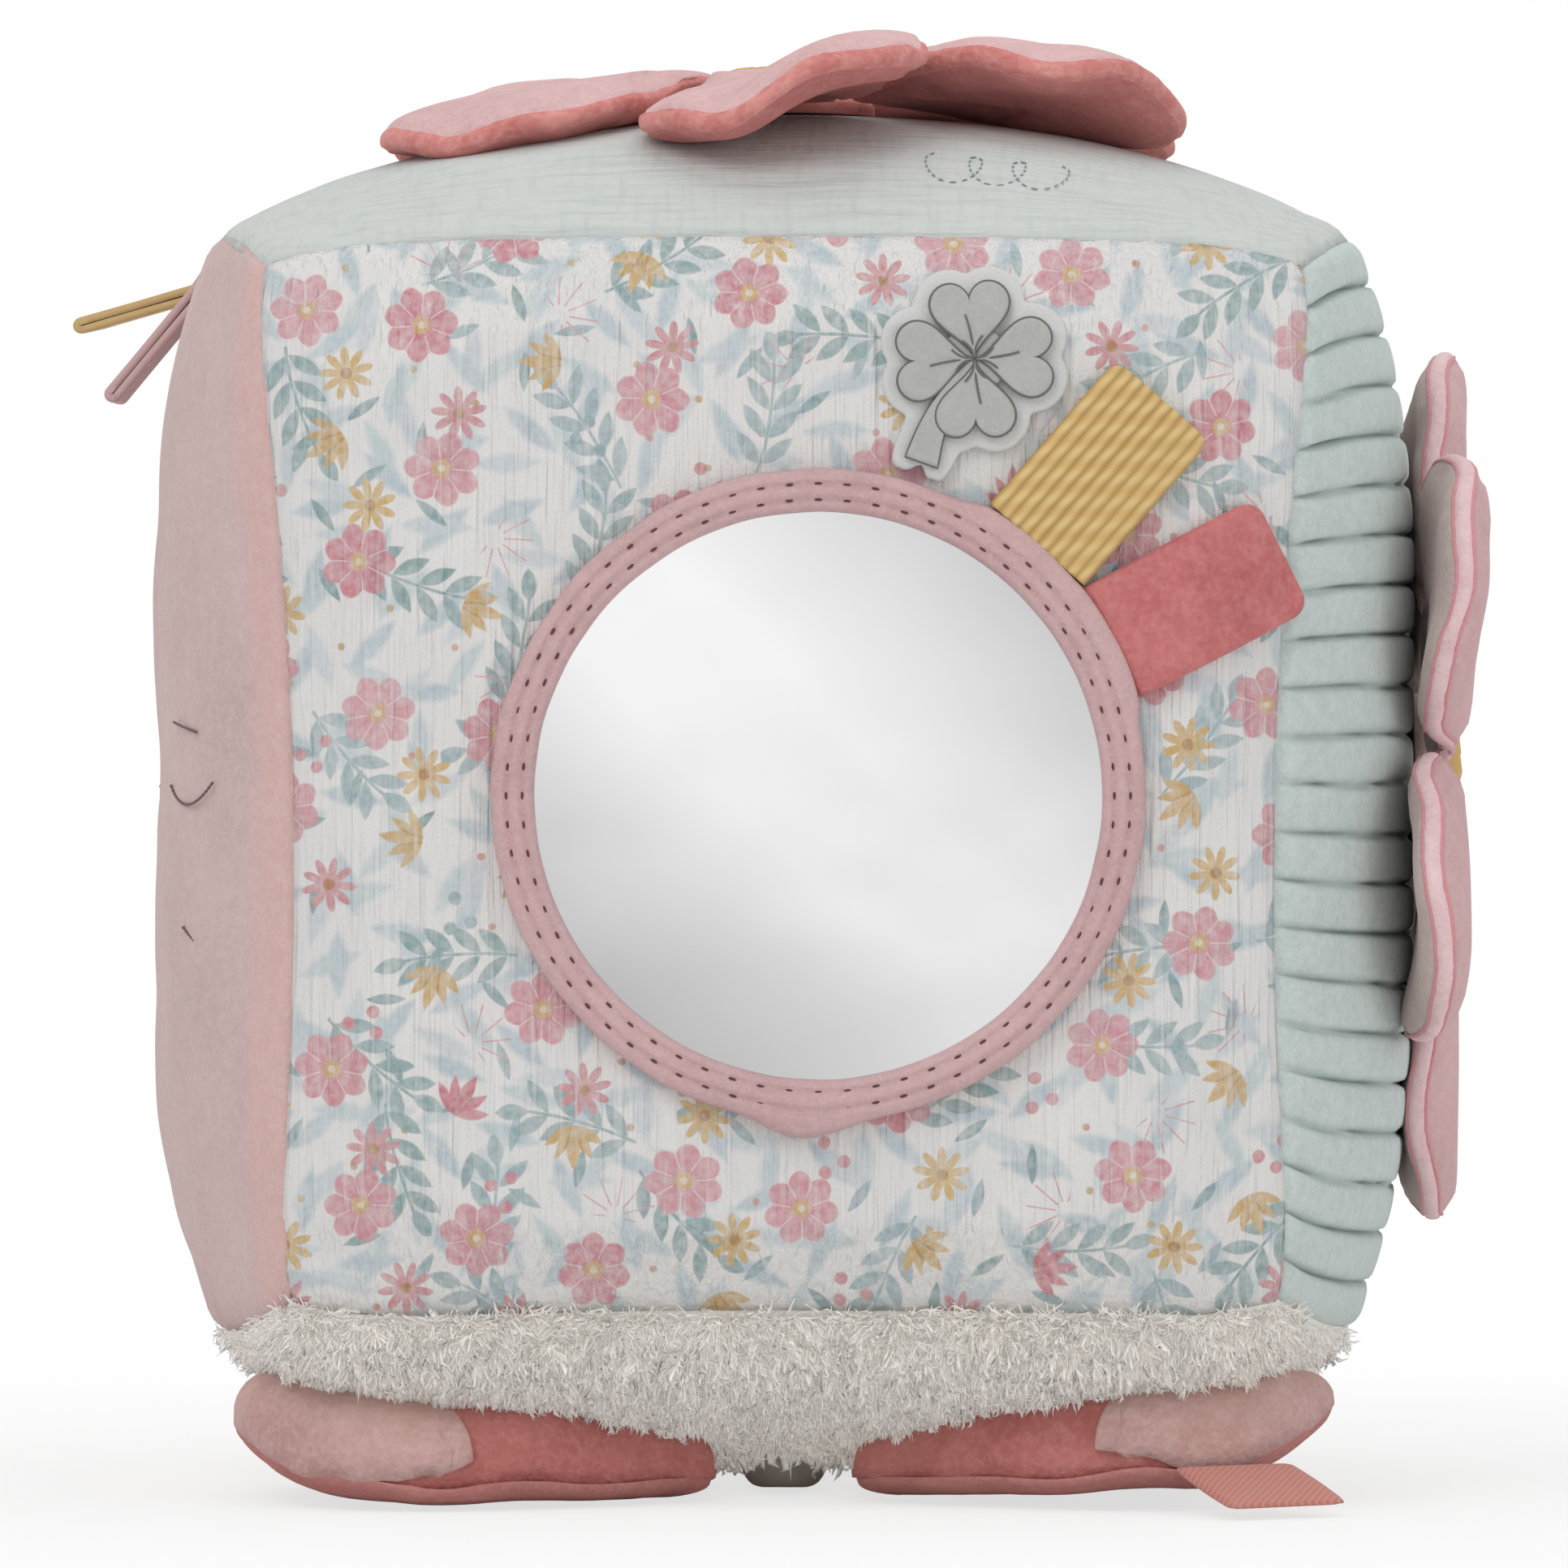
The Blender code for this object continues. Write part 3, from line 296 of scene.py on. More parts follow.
def printed_muslin():
    """Off-white crinkled cotton with a scattered print of rosettes, buds, starlets, berries and sprigs."""
    made = Finish("printed_muslin", 0.92, 0.08)
    wave = (made.noise(made.place, 60.0, 2.0) - 0.5) * 0.0016
    x, z = made.x + wave, made.z - wave * 0.7
    cloth = made.mix(made.noise(made.place, 38.0, 2.0), ink(229, 226, 223), ink(214, 214, 213))
    wash = made.noise(made.place, 420.0, 3.0, 0.6)
    pool = made.noise(made.place, 900.0, 2.0, 0.5)
    printed = cloth

    def stamp(mask, colour, strength=1.0):
        nonlocal printed
        worn = mask.clamp() * (0.42 + wash * 0.9) * strength
        printed = made.mix(worn.clamp(), printed, made.mix((pool - 0.35) * 0.9, colour, cloth))

    # Faint washed leaves behind
    for seed, turn, offset, cell, colour in (
        (3.0, 0.35, 0.2, 0.0100, ink(176, 191, 199)), (7.0, 1.15, 0.6, 0.0112, ink(188, 200, 203)),
        (13.0, 0.8, 0.4, 0.0128, ink(196, 203, 208)),
    ):
        (px, pz), _ = scattered(made, x, z, cell, seed, turn, offset)
        stamp(leaf_mask(px, pz, 0.0, 0.0092, 0.0013, 0.0009, -0.0046), colour, 0.95)
    # Single leaves and dots
    (px, pz), (first, second, _) = scattered(made, x, z, 0.0086, 57.0, 0.6)
    leaf = leaf_mask(px, pz, 0.0, 0.0056, 0.00075, 0.00022, -0.0028) * (first < 0.36)
    stamp(leaf, made.mix(second, ink(122, 150, 152), ink(150, 172, 178)), 0.95)
    away = distance(px, pz)
    shown = between(first, 0.36, 0.66)
    dot = within(away, 0.00052, 0.0002) * shown
    stamp(dot, made.mix(second > 0.5, ink(196, 142, 130), ink(186, 160, 112)), 0.95)
    # Sprigs: a curved stem with pairs of fat leaves and one at its end
    for seed, offset, chance in ((11.0, 0.31, 0.62), (19.0, 0.81, 0.5)):
        (px, pz), (first, second, _) = scattered(made, x, z, 0.0262, seed, 0.12, offset)
        shown = first < chance
        green = made.mix(second, ink(134, 160, 160), ink(158, 176, 180))
        sprig = within(abs(pz - px * px * 9.0), 0.00022, 0.00018).clamp() * ((0.0080 - abs(px)) / 0.0003).clamp()
        sprig = sprig.math("MAXIMUM", leaf_mask(px - 0.0076, pz - 0.00052, 0.3, 0.0048, 0.0011, 0.00025).clamp())
        for step in range(4):
            for side in (-1.0, 1.0):
                middle = -0.0068 + 0.0038 * step
                rise = middle * middle * 9.0
                mask = leaf_mask(px - middle, pz - rise, side * 0.72, 0.0056, 0.0010, 0.00025, 0.0003)
                sprig = sprig.math("MAXIMUM", mask.clamp())
        stamp(sprig * shown, green, 0.98)
    # Buds: pointed petals on a short stalk, like a small crown
    (px, pz), (first, second, third) = scattered(made, x, z, 0.0168, 23.0, -0.28)
    shown = between(first, 0.46, 0.78)
    bud = leaf_mask(px + 0.002, pz, 0.0, 0.0062, 0.0009, 0.00025)
    for turn in (-0.5, 0.5, -1.0, 1.0):
        reach = 0.0058 - abs(turn) * 0.0009
        bud = bud.math("MAXIMUM", leaf_mask(px + 0.002, pz, turn, reach, 0.00075, 0.00025))
    stamp(bud * shown, made.mix(third > 0.45, ink(198, 122, 132), ink(198, 164, 104)), 0.98)
    line = within(abs(abs(pz) - 0.00035 - abs(px + 0.002) * 0.22), 0.00018, 0.00015).clamp()
    stamp(line * bud.clamp() * shown, ink(158, 118, 84), 0.5)
    # Rosettes with seven round petals, veins and a ring in the middle
    radius = distance(px, pz)
    angle = pz.math("ARCTAN2", px)
    edge = 0.0039 + abs((angle * 3.5).math("COSINE")) * 0.0013
    pink = made.mix(second, ink(206, 152, 160), ink(198, 128, 138))
    shown = first < 0.46
    stamp(within(radius, edge, 0.0003) * shown, pink)
    ray = abs((angle * 10.5).math("SINE")) * radius
    veins = within(ray, 0.00035, 0.0003).clamp() * between(radius, 0.0012, 0.0037)
    stamp(veins * shown, ink(176, 106, 118), 0.42)
    gaps = within(abs((angle * 3.5).math("COSINE")) * radius, 0.00030, 0.0002).clamp() * (radius > 0.0016)
    stamp(gaps * shown * (radius < 0.0046), ink(222, 208, 208), 0.8)
    stamp(within(radius, 0.00125, 0.0002) * shown, ink(200, 168, 118))
    stamp(within(radius, 0.0005, 0.0002) * shown, ink(218, 206, 186))
    # Starlets with nine petals, and feathery half fans
    (px, pz), (first, second, _) = scattered(made, x, z, 0.0168, 41.0, -0.28, 0.5)
    radius = distance(px, pz)
    angle = pz.math("ARCTAN2", px)
    petals = abs((angle * 4.5).math("COSINE"))
    shown = first < 0.44
    star = within(radius, 0.0013 + petals * 0.0025, 0.00025) * shown
    stamp(star, made.mix(second > 0.35, ink(200, 140, 146), ink(203, 170, 112)))
    stamp(within(radius, 0.0008, 0.0002) * shown, ink(168, 128, 80), 0.9)
    shown = between(first, 0.44, 0.74) * (px > -0.0004)
    fan = within(abs((angle * 5.5).math("SINE")) * radius * 0.45, 0.00028, 0.00016).clamp()
    stamp(fan * between(radius, 0.0014, 0.0055) * shown, ink(205, 150, 158), 0.9)
    # Berries: three dots on a fork
    shown = between(first, 0.74, 0.93)
    for bx, bz in ((0.0024, 0.0), (0.0004, 0.0022), (-0.0016, -0.0010)):
        berry = within(distance(px - bx, pz - bz), 0.0009, 0.0002) * shown
        stamp(berry, made.mix(second > 0.5, ink(198, 132, 138), ink(140, 164, 168)), 0.95)
    # Crinkles that run up and down, drawn in by fine threads. Their crests are painted paler, a painted highlight.
    crinkle = made.noise(made.stretched(made.place, 820.0, 820.0, 46.0), 1.0, 2.0, 0.5)
    weave = made.noise(made.place, 2600.0, 1.0)
    made.paint(made.mix(((crinkle - 0.52) * 3.0).clamp() * 0.45, printed, ink(236, 234, 231)))
    made.emboss(crinkle * 0.9 + weave * 0.1, 0.0011)
    return made.material


def crinkle_cloth(name, colour, shade, line):
    """Pale crinkled cloth with fine creases that run from side to side. Their hollows are painted in the darker line
    colour as painted shade.
    """
    made = Finish(name, 0.88, 0.1)
    creases = made.noise(made.stretched(made.place, 60.0, 620.0, 620.0), 1.0, 3.0, 0.6)
    cross = made.noise(made.stretched(made.place, 760.0, 90.0, 90.0), 1.0, 2.0)
    patch = made.noise(made.place, 30.0, 2.0)
    base = made.mix(patch, colour, shade)
    # Painted shade: the hollows of the creases and of the cross creases take the line colour.
    base = made.mix((0.5 - creases) * 2.6, base, line)
    base = made.mix((0.5 - cross) * 1.3, base, line)
    made.paint(base)
    made.emboss(creases * 0.7 + cross * 0.3, 0.0009)
    return made.material


def ribbed_plush():
    """Mint plush, painted darker in the furrows that the ribs' tree stores, as painted shade."""
    made = Finish("mint_plush", 0.96, 0.3, ink(214, 226, 222))
    fine = made.noise(made.place, 1300.0, 3.0, 0.6)
    clump = made.noise(made.place, 420.0, 2.0)
    depth = made.add("ShaderNodeAttribute", {"attribute_name": "furrow"}, None, "Fac")
    base = made.mix((clump - 0.3) * 1.6, ink(190, 201, 198), ink(206, 216, 213))
    base = made.mix((fine - 0.45) * 1.5, base, ink(220, 229, 226))
    # Painted shade: the deeper the furrow, the darker the colour.
    base = made.mix(depth, base, ink(150, 166, 163))
    made.paint(base)
    made.emboss(fine * 0.5 + clump * 0.5, 0.0005)
    return made.material


def teddy_pile(name, base_colour, root, tip, painted_glow):
    """Curly wool: darker at the roots, paler at the tips; the darker roots are painted shade deep in the pile. A little
    painted glow stands for light that passes through it.
    """
    made = Finish(name, 0.97, 0.8, ink(253, 251, 248))
    along = made.add("ShaderNodeAttribute", {"attribute_name": "along"}, None, "Fac")
    curl = made.noise(made.place, 520.0, 3.0, 0.6)
    patch = made.noise(made.place, 70.0, 2.0)
    body = made.mix((patch - 0.35) * 2.0, base_colour, tip)
    # Painted shade: the colour darkens towards the roots, and on the ground under the locks, which has no along
    # attribute.
    body = made.mix((1.0 - along).clamp() * 0.7, body, root)
    body = made.mix(((curl - 0.5) * 2.2).clamp(), body, tip)
    made.paint(body)
    # Painted glow: the wool's own colour is given off as light.
    made.tree.links.new(body.socket, made.shader.inputs["Emission Color"])
    made.shader.inputs["Emission Strength"].default_value = painted_glow
    made.shader.inputs["Subsurface Weight"].default_value = 0.6
    made.shader.inputs["Subsurface Radius"].default_value = (1.0, 0.98, 0.94)
    made.shader.inputs["Subsurface Scale"].default_value = 0.0016
    made.emboss(curl, 0.0005)
    return made.material


def corded(name, colour, shade, light, cords):
    """Woven ribbon whose cords run along the UV's U, with a fine slant thread on them. The grooves between the cords
    are painted in the shade colour as painted shade.
    """
    made = Finish(name, 0.8, 0.15, light)
    along, across = made.uv_places()
    ridge = abs(((across * cords) * math.pi).math("SINE"))
    thread = ((along * 1500.0 + across * cords * 2.0).math("SINE") + 1.0) * 0.5
    worn = made.noise(made.place, 260.0, 2.0)
    # Painted shade: the grooves between the cords take the shade colour.
    base = made.mix(ridge, shade, colour)
    base = made.mix(thread * ridge * (0.3 + worn * 0.5), base, light)
    made.paint(base)
    made.emboss(ridge * 0.7 + thread * 0.3, 0.00045)
    return made.material


def twill(name, colour, shade, light):
    """Woven tape with a slanting weave over the UV."""
    made = Finish(name, 0.72, 0.15)
    along, across = made.uv_places()
    diagonal = ((along * 5200.0 + across * 5200.0).math("SINE") + 1.0) * 0.5
    worn = made.noise(made.place, 180.0, 2.0)
    made.paint(made.mix(diagonal * 0.6, made.mix(worn, shade, colour), light))
    made.emboss(diagonal, 0.00015)
    return made.material


def mirror_film():
    """Soft mirror sheet: silvered, a little cloudy, with a painted reflection: a broad pale band along one diagonal
    that turns grey away from it.
    """
    made = Finish("mirror_film", 0.14, 0.0, Metallic=1.0)
    # Painted reflection: the colour is palest along the diagonal through the mirror's middle and greyer away from it.
    diagonal = abs((made.x - MIRROR_MIDDLE.x) + (made.z - MIRROR_MIDDLE.z)) * 22.0
    painted_reflection_wobble = made.noise(made.place, 22.0, 2.0)
    painted_reflection_fade = (diagonal - 0.25 + (painted_reflection_wobble - 0.5) * 0.4).clamp()
    made.paint(made.mix(painted_reflection_fade, ink(251, 251, 252), ink(208, 208, 209)))
    made.emboss(made.noise(made.place, 45.0, 1.0), 0.00012)
    return made.material


def plain(name, colour, shade, scale, relief, grain=(3.0, 0.6), roughness=0.95, sheen=0.0):
    """One grain of two tones. It serves for fibre, foam, felt and thread."""
    made = Finish(name, roughness, sheen)
    fibres = made.noise(made.place, scale, *grain)
    made.paint(made.mix(fibres, shade, colour))
    made.emboss(fibres, relief)
    return made.material


def thread(name, colour, shade):
    return plain(name, shade, colour, 3000.0, 0.0001, grain=(1.0, 0.5), roughness=0.7, sheen=0.2)


FINISHES = {
    "muslin": printed_muslin(),
    "top_cloth": crinkle_cloth("pale_mint_crinkle", ink(207, 211, 208), ink(199, 204, 201), ink(178, 188, 185)),
    "left_velour": velour("dusty_velour", ink(206, 183, 180), ink(193, 170, 167), ink(222, 202, 199),
                          streak=38.0, strip=ink(211, 175, 171)),
    "ribs": ribbed_plush(),
    # The teddy finishes end with the strength of their painted glow.
    "teddy": teddy_pile("teddy_base", ink(243, 240, 234), ink(230, 226, 218), ink(253, 250, 243), 0.12),
    "pile": teddy_pile("teddy_locks", ink(250, 247, 242), ink(238, 233, 225), ink(255, 250, 242), 0.17),
    "fibre": plain("fibre", ink(236, 234, 228), ink(222, 220, 214), 300.0, 0.0006),
    "foam": plain("foam", ink(226, 226, 220), ink(206, 206, 198), 900.0, 0.0003),
    "mirror": mirror_film(),
    "rim": velour("rim_velour", ink(208, 174, 174), ink(194, 159, 160), ink(224, 195, 195), grain=2000.0),
    "coral": velour("coral_velour", ink(200, 122, 120), ink(180, 100, 100), ink(224, 154, 150),
                    pile=0.0006, grain=950.0, streak=120.0),
    "petal_face": velour("petal_velour", ink(222, 184, 184), ink(208, 168, 169), ink(236, 206, 205),
                         pile=0.0005, grain=1200.0),
    "petal_rim": velour("petal_rim_velour", ink(218, 144, 139), ink(196, 116, 112), ink(242, 186, 179),
                        pile=0.0006, grain=900.0, streak=150.0),
    "petal_under": velour("petal_lining_velour", ink(202, 130, 127), ink(184, 110, 108), ink(220, 156, 151)),
    "side_face": velour("side_petal_velour", ink(212, 176, 177), ink(200, 162, 164), ink(228, 198, 198)),
    "side_rim": velour("side_rim_velour", ink(236, 204, 206), ink(222, 186, 189), ink(247, 224, 225), streak=130.0),
    "side_under": velour("side_lining_velour", ink(208, 188, 184), ink(194, 173, 169), ink(232, 214, 210)),
    "wing_pink": velour("pale_pink_velour", ink(206, 170, 165), ink(188, 148, 144), ink(226, 196, 191),
                        pile=0.0006, grain=1000.0),
    "wing_coral": velour("wing_coral_velour", ink(200, 128, 122), ink(176, 102, 98), ink(220, 156, 149),
                         pile=0.0006, grain=1000.0),
    # The roll's grey-taupe is partly its own velour colour and partly painted shade for its end under the belly.
    "roll": velour("roll_velour", ink(168, 160, 155), ink(152, 144, 140), ink(186, 178, 172)),
    "wing_lining": velour("wing_lining_velour", ink(194, 132, 127), ink(176, 114, 110), ink(212, 156, 150)),
    "mustard": corded("mustard_corded", ink(214, 180, 120), ink(188, 153, 94), ink(232, 204, 150), 10.0),
    "mustard_tape": corded("mustard_tape", ink(226, 200, 152), ink(206, 176, 124), ink(238, 216, 176), 14.0),
    "button": velour("mustard_velour", ink(206, 172, 112), ink(188, 152, 94), ink(222, 192, 138)),
    "pink_tape": corded("pink_tape", ink(222, 192, 190), ink(204, 172, 170), ink(236, 210, 208), 14.0),
    "white_felt": plain("white_felt", ink(219, 219, 217), ink(206, 206, 205), 2200.0, 0.0002, grain=(4.0, 0.7),
                        sheen=0.1),
    "grey_felt": velour("grey_velour", ink(182, 183, 178), ink(172, 173, 168), ink(194, 195, 190),
                        grain=2200.0, streak=90.0),
    "twill": twill("label_twill", ink(206, 138, 126), ink(196, 126, 114), ink(222, 160, 148)),
    "grey_thread": thread("grey_thread", ink(120, 121, 118), ink(98, 99, 97)),
    "rose_thread": thread("rose_thread", ink(112, 70, 74), ink(88, 52, 56)),
    "pink_thread": thread("pink_thread", ink(222, 158, 163), ink(204, 138, 144)),
    "taupe_thread": thread("taupe_thread", ink(122, 96, 94), ink(100, 76, 75)),
    "mint_thread": thread("mint_thread", ink(150, 162, 166), ink(132, 144, 150)),
}


# ---------------------------------------------------------------- meshes

def wobble(points, size, seed):
    """Smooth noise from about -1 to 1 at each point, with waves of this size."""
    flat = np.asarray(points, float).reshape(-1, 3) / size + seed * 7.31
    values = [noise.noise(point) for point in flat.tolist()]
    return np.array(values).reshape(np.asarray(points).shape[:-1])


def linked(name, data):
    """A new object in the scene."""
    made = bpy.data.objects.new(name, data)
    bpy.context.scene.collection.objects.link(made)
    return made


def piece(name, points, faces, materials, body, replaces=(), indices=None, uv=None):
    """A finished mesh object with its declarations."""
    mesh = bpy.data.meshes.new(name)
    mesh.from_pydata(np.asarray(points, float).reshape(-1, 3).tolist(), [], faces)
    for material in materials:
        mesh.materials.append(FINISHES[material])
    if indices is not None:
        mesh.polygons.foreach_set("material_index", indices)
    if uv is not None:
        layer = mesh.uv_layers.new(name="UVMap")
        corners = np.array([loop.vertex_index for loop in mesh.loops])
        layer.data.foreach_set("uv", np.asarray(uv, np.float32).reshape(-1, 2)[corners].ravel())
    mesh.shade_smooth()
    mesh.validate()
    return declared(linked(name, mesh), body, replaces)


def declared(made, body, replaces=()):
    """Says which body an object rides on, and which solids it stands for."""
    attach(made, body)
    if replaces:
        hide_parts(*replaces)
    return made


def grid_faces(rows, columns, start=0, closed=False, flip=False):
    """Quads over a grid of points stored row by row."""
    faces = []
    width = columns if closed else columns + 1
    for i in range(rows):
        for j in range(columns):
            k = (j + 1) % width
            near, far = start + i * width, start + (i + 1) * width
            quad = (near + j, far + j, far + k, near + k)
            faces.append(quad[::-1] if flip else quad)
    return faces


def sheet_mesh(outer, inner):
    """A closed sheet between two grids of points of one size. Faces point away from the other grid."""
    rows, columns = outer.shape[0] - 1, outer.shape[1] - 1
    count = (rows + 1) * (columns + 1)
    i, j = rows // 2, columns // 2
    normal = np.cross(outer[i + 1, j] - outer[i, j], outer[i, j + 1] - outer[i, j])
    flip = float(normal @ (outer[i, j] - inner[i, j])) < 0.0
    faces = grid_faces(rows, columns, 0, flip=flip) + grid_faces(rows, columns, count, flip=not flip)
    width = columns + 1
    edge = [i * width for i in range(rows)] + [rows * width + j for j in range(columns)]
    edge += [i * width + columns for i in range(rows, 0, -1)] + list(range(columns, 0, -1))
    for here, there in zip(edge, edge[1:] + edge[:1]):
        quad = (here, there, there + count, here + count)
        faces.append(quad if flip else quad[::-1])
    return np.concatenate((outer.reshape(-1, 3), inner.reshape(-1, 3))), faces


def grid_normals(points):
    """Unit normals of a grid of points."""
    rows, columns = np.gradient(points, axis=0), np.gradient(points, axis=1)
    normal = np.cross(rows, columns)
    return normal / np.maximum(np.linalg.norm(normal, axis=-1, keepdims=True), 1e-12)


class Seat:
    """A hinge's own frame: x runs along the piece, z away from what carries it."""

    def __init__(self, place, outward, away):
        self.place = np.array(place, float)
        outward, away = Vector(outward).normalized(), Vector(away).normalized()
        across = away.cross(outward)
        self.turn = np.array((outward, across, away))

    def world(self, x, y, z):
        local = np.stack(np.broadcast_arrays(x, y, z), axis=-1)
        return self.place + local @ self.turn


# How far a cushion's rings lie from its outline, and from there to its middle as shares
RIM_STEPS = (0.0, 0.0003, 0.0007, 0.0013, 0.0021, 0.0032, 0.0046, 0.0064)
CROWN_SHARES = (0.22, 0.42, 0.6, 0.76, 0.9)
# The sewn band's rows: share of its height, and of its bulge
BAND_ROWS = ((0.86, 0.25), (0.62, 0.8), (0.3, 0.97), (0.0, 1.0), (-0.3, 0.97), (-0.62, 0.8), (-0.86, 0.25))


def cushion(name, outline, top, under, materials, body, world, slot=None, replaces=(), level=None,
            edge=0.0, bulge=0.0, rounding=0.005, middle=None, pucker=0.0, seed=1.0, fill=0.6, blow=None):
    """A stuffed piece over a closed outline in plan, whose rim is a seam or a sewn band.

    top and under give its height above and below the level, as numbers or functions of x and y.
    blow gives the reach up to which it is sewn down, and swell's pressure, shrink and limit.
    """
    outline = np.asarray(outline, float)
    count = len(outline)
    heart = outline.mean(0) if middle is None else np.array(middle, float)
    reach = np.linalg.norm(outline - heart, axis=1)
    inward = (heart - outline) / reach[:, None]
    widest = RIM_STEPS[-1]
    scale = np.minimum(1.0, reach * 0.55 / widest)
    distances = [step * scale for step in RIM_STEPS]
    distances += [widest * scale + (reach - widest * scale) * share for share in CROWN_SHARES]
    rings = [(outline + inward * distance[:, None], distance) for distance in distances]
    around = np.arange(count)
    length = np.cumsum(np.linalg.norm(outline - np.roll(outline, 1, axis=0), axis=1))
    folds = np.array([noise.noise((value / 0.0042, seed * 3.7, 0.5)) for value in length])
    folds += 0.5 * np.array([noise.noise((value / 0.0019, seed * 5.1, 4.5)) for value in length])
    lift = level if level is not None else (lambda x, y: np.zeros_like(x))

    def height(bulk, x, y, distance, sign):
        full = bulk(x, y) if callable(bulk) else np.full_like(x, bulk)
        run = np.minimum(1.0, distance / (rounding * scale))
        crown = np.sqrt(np.maximum(0.0, 1.0 - (1.0 - run) ** 2))
        rim = np.minimum(edge, full)
        crease = pucker * folds * np.exp(-distance / 0.0035) * np.minimum(1.0, distance / 0.0006)
        return lift(x, y) + sign * (rim + (full - rim) * crown + crease)

    loops, kinds = [], []
    for ring, distance in reversed(rings):
        loops.append(np.stack((ring[:, 0], ring[:, 1], height(top, ring[:, 0], ring[:, 1], distance, 1.0)), -1))
        kinds.append(0)
    if edge > 0.0:
        x, y = outline.T
        full = np.minimum(edge, top(x, y) if callable(top) else top)
        low = np.minimum(edge, under(x, y) if callable(under) else under)
        for share, out in BAND_ROWS:
            beyond = outline - inward * (bulge * out)
            z = lift(x, y) + share * np.where(share > 0.0, full, low)
            loops.append(np.stack((beyond[:, 0], beyond[:, 1], z), -1))
            kinds.append(1)
    rings_down = rings if edge > 0.0 else rings[1:]
    for ring, distance in rings_down:
        loops.append(np.stack((ring[:, 0], ring[:, 1], height(under, ring[:, 0], ring[:, 1], distance, -1.0)), -1))
        kinds.append(2)
    hearts = []
    for bulk, sign in ((top, 1.0), (under, -1.0)):
        x, y = np.array([heart[0]]), np.array([heart[1]])
        full = bulk(x, y) if callable(bulk) else bulk
        hearts.append(np.stack((x, y, lift(x, y) + sign * full), -1)[0])
    grid = np.array(loops)
    points = world(*np.moveaxis(np.concatenate((grid.reshape(-1, 3), np.array(hearts))), -1, 0))
    faces, indices = [], []
    last = len(materials) - 1
    for i in range(len(loops) - 1):
        kind = 1 if 1 in kinds[i:i + 2] else kinds[i + 1]
        for j in around:
            k = (j + 1) % count
            faces.append((i * count + j, (i + 1) * count + j, (i + 1) * count + k, i * count + k))
            indices.append(min(kind, last))
    end = len(loops) * count
    for j in around:
        k = (j + 1) % count
        faces.append((end, j, k))
        indices.append(0)
        faces.append((end + 1, (len(loops) - 1) * count + k, (len(loops) - 1) * count + j))
        indices.append(min(2, last))
    made = piece(name, points, faces, materials, body, replaces, indices)
    outward_faces(made)
    if blow:
        held = np.where(np.tile(abs(outline[:, 0]) < blow[0], len(loops)))[0]
        rows = [row for row in range(len(loops)) if (kinds[row] == 1) != (kinds[row - 1] == 1)] or [len(rings) - 1]
        swell(made, held, np.concatenate([row * count + around for row in rows]), *blow[1:])
    return made


def swell(made, held, drawn, pressure, shrink, limit):
    """Blows a stuffed piece up as cloth, on a copy ten times as large, and keeps a capped share of it."""
    scene = bpy.context.scene
    rest = np.empty(len(made.data.vertices) * 3)
    made.data.vertices.foreach_get("co", rest)
    rest = rest.reshape(-1, 3)
    middle = rest.mean(0)
    mesh = made.data.copy()
    mesh.vertices.foreach_set("co", ((rest - middle) * SWELL_SCALE).ravel())
    blown = linked("blown", mesh)
    for name, members in (("held", held), ("drawn", drawn)):
        blown.vertex_groups.new(name=name).add([int(k) for k in members], 1.0, "REPLACE")
    cloth = blown.modifiers.new("cloth", "CLOTH")
    settings = cloth.settings
    settings.quality = 6
    settings.mass = 0.3
    settings.tension_stiffness = settings.compression_stiffness = 25.0
    settings.shear_stiffness = 8.0
    settings.bending_stiffness = 0.5
    settings.tension_damping = settings.compression_damping = 15.0
    settings.use_pressure = True
    settings.uniform_pressure_force = pressure
    settings.vertex_group_mass = "held"
    settings.vertex_group_shrink = "drawn"
    settings.shrink_max = shrink
    settings.effector_weights.gravity = 0.0
    cloth.collision_settings.use_collision = False
    cloth.point_cache.frame_start, cloth.point_cache.frame_end = 1, SWELL_FRAMES
    for frame_number in range(1, SWELL_FRAMES + 1):
        scene.frame_set(frame_number)
    moved = np.empty(len(mesh.vertices) * 3)
    blown.evaluated_get(bpy.context.evaluated_depsgraph_get()).data.vertices.foreach_get("co", moved)
    offset = moved.reshape(-1, 3) / SWELL_SCALE + middle - rest
    bpy.data.objects.remove(blown)
    bpy.data.meshes.remove(mesh)
    scene.frame_set(1)
    if np.isfinite(offset).all():
        size = np.linalg.norm(offset, axis=1, keepdims=True)
        offset *= np.tanh(size / limit) * limit / np.maximum(size, 1e-9)
        made.data.vertices.foreach_set("co", (rest + offset).ravel())
        made.data.update()


def outward_faces(made):
    """Turns a closed mesh's faces out if they point in."""
    mesh = made.data
    points = np.array([vertex.co for vertex in mesh.vertices])
    mesh.calc_loop_triangles()
    triangles = np.array([triangle.vertices for triangle in mesh.loop_triangles])
    a, b, c = (points[triangles[:, k]] for k in range(3))
    if float((a * np.cross(b, c)).sum()) < 0.0:
        mesh.flip_normals()


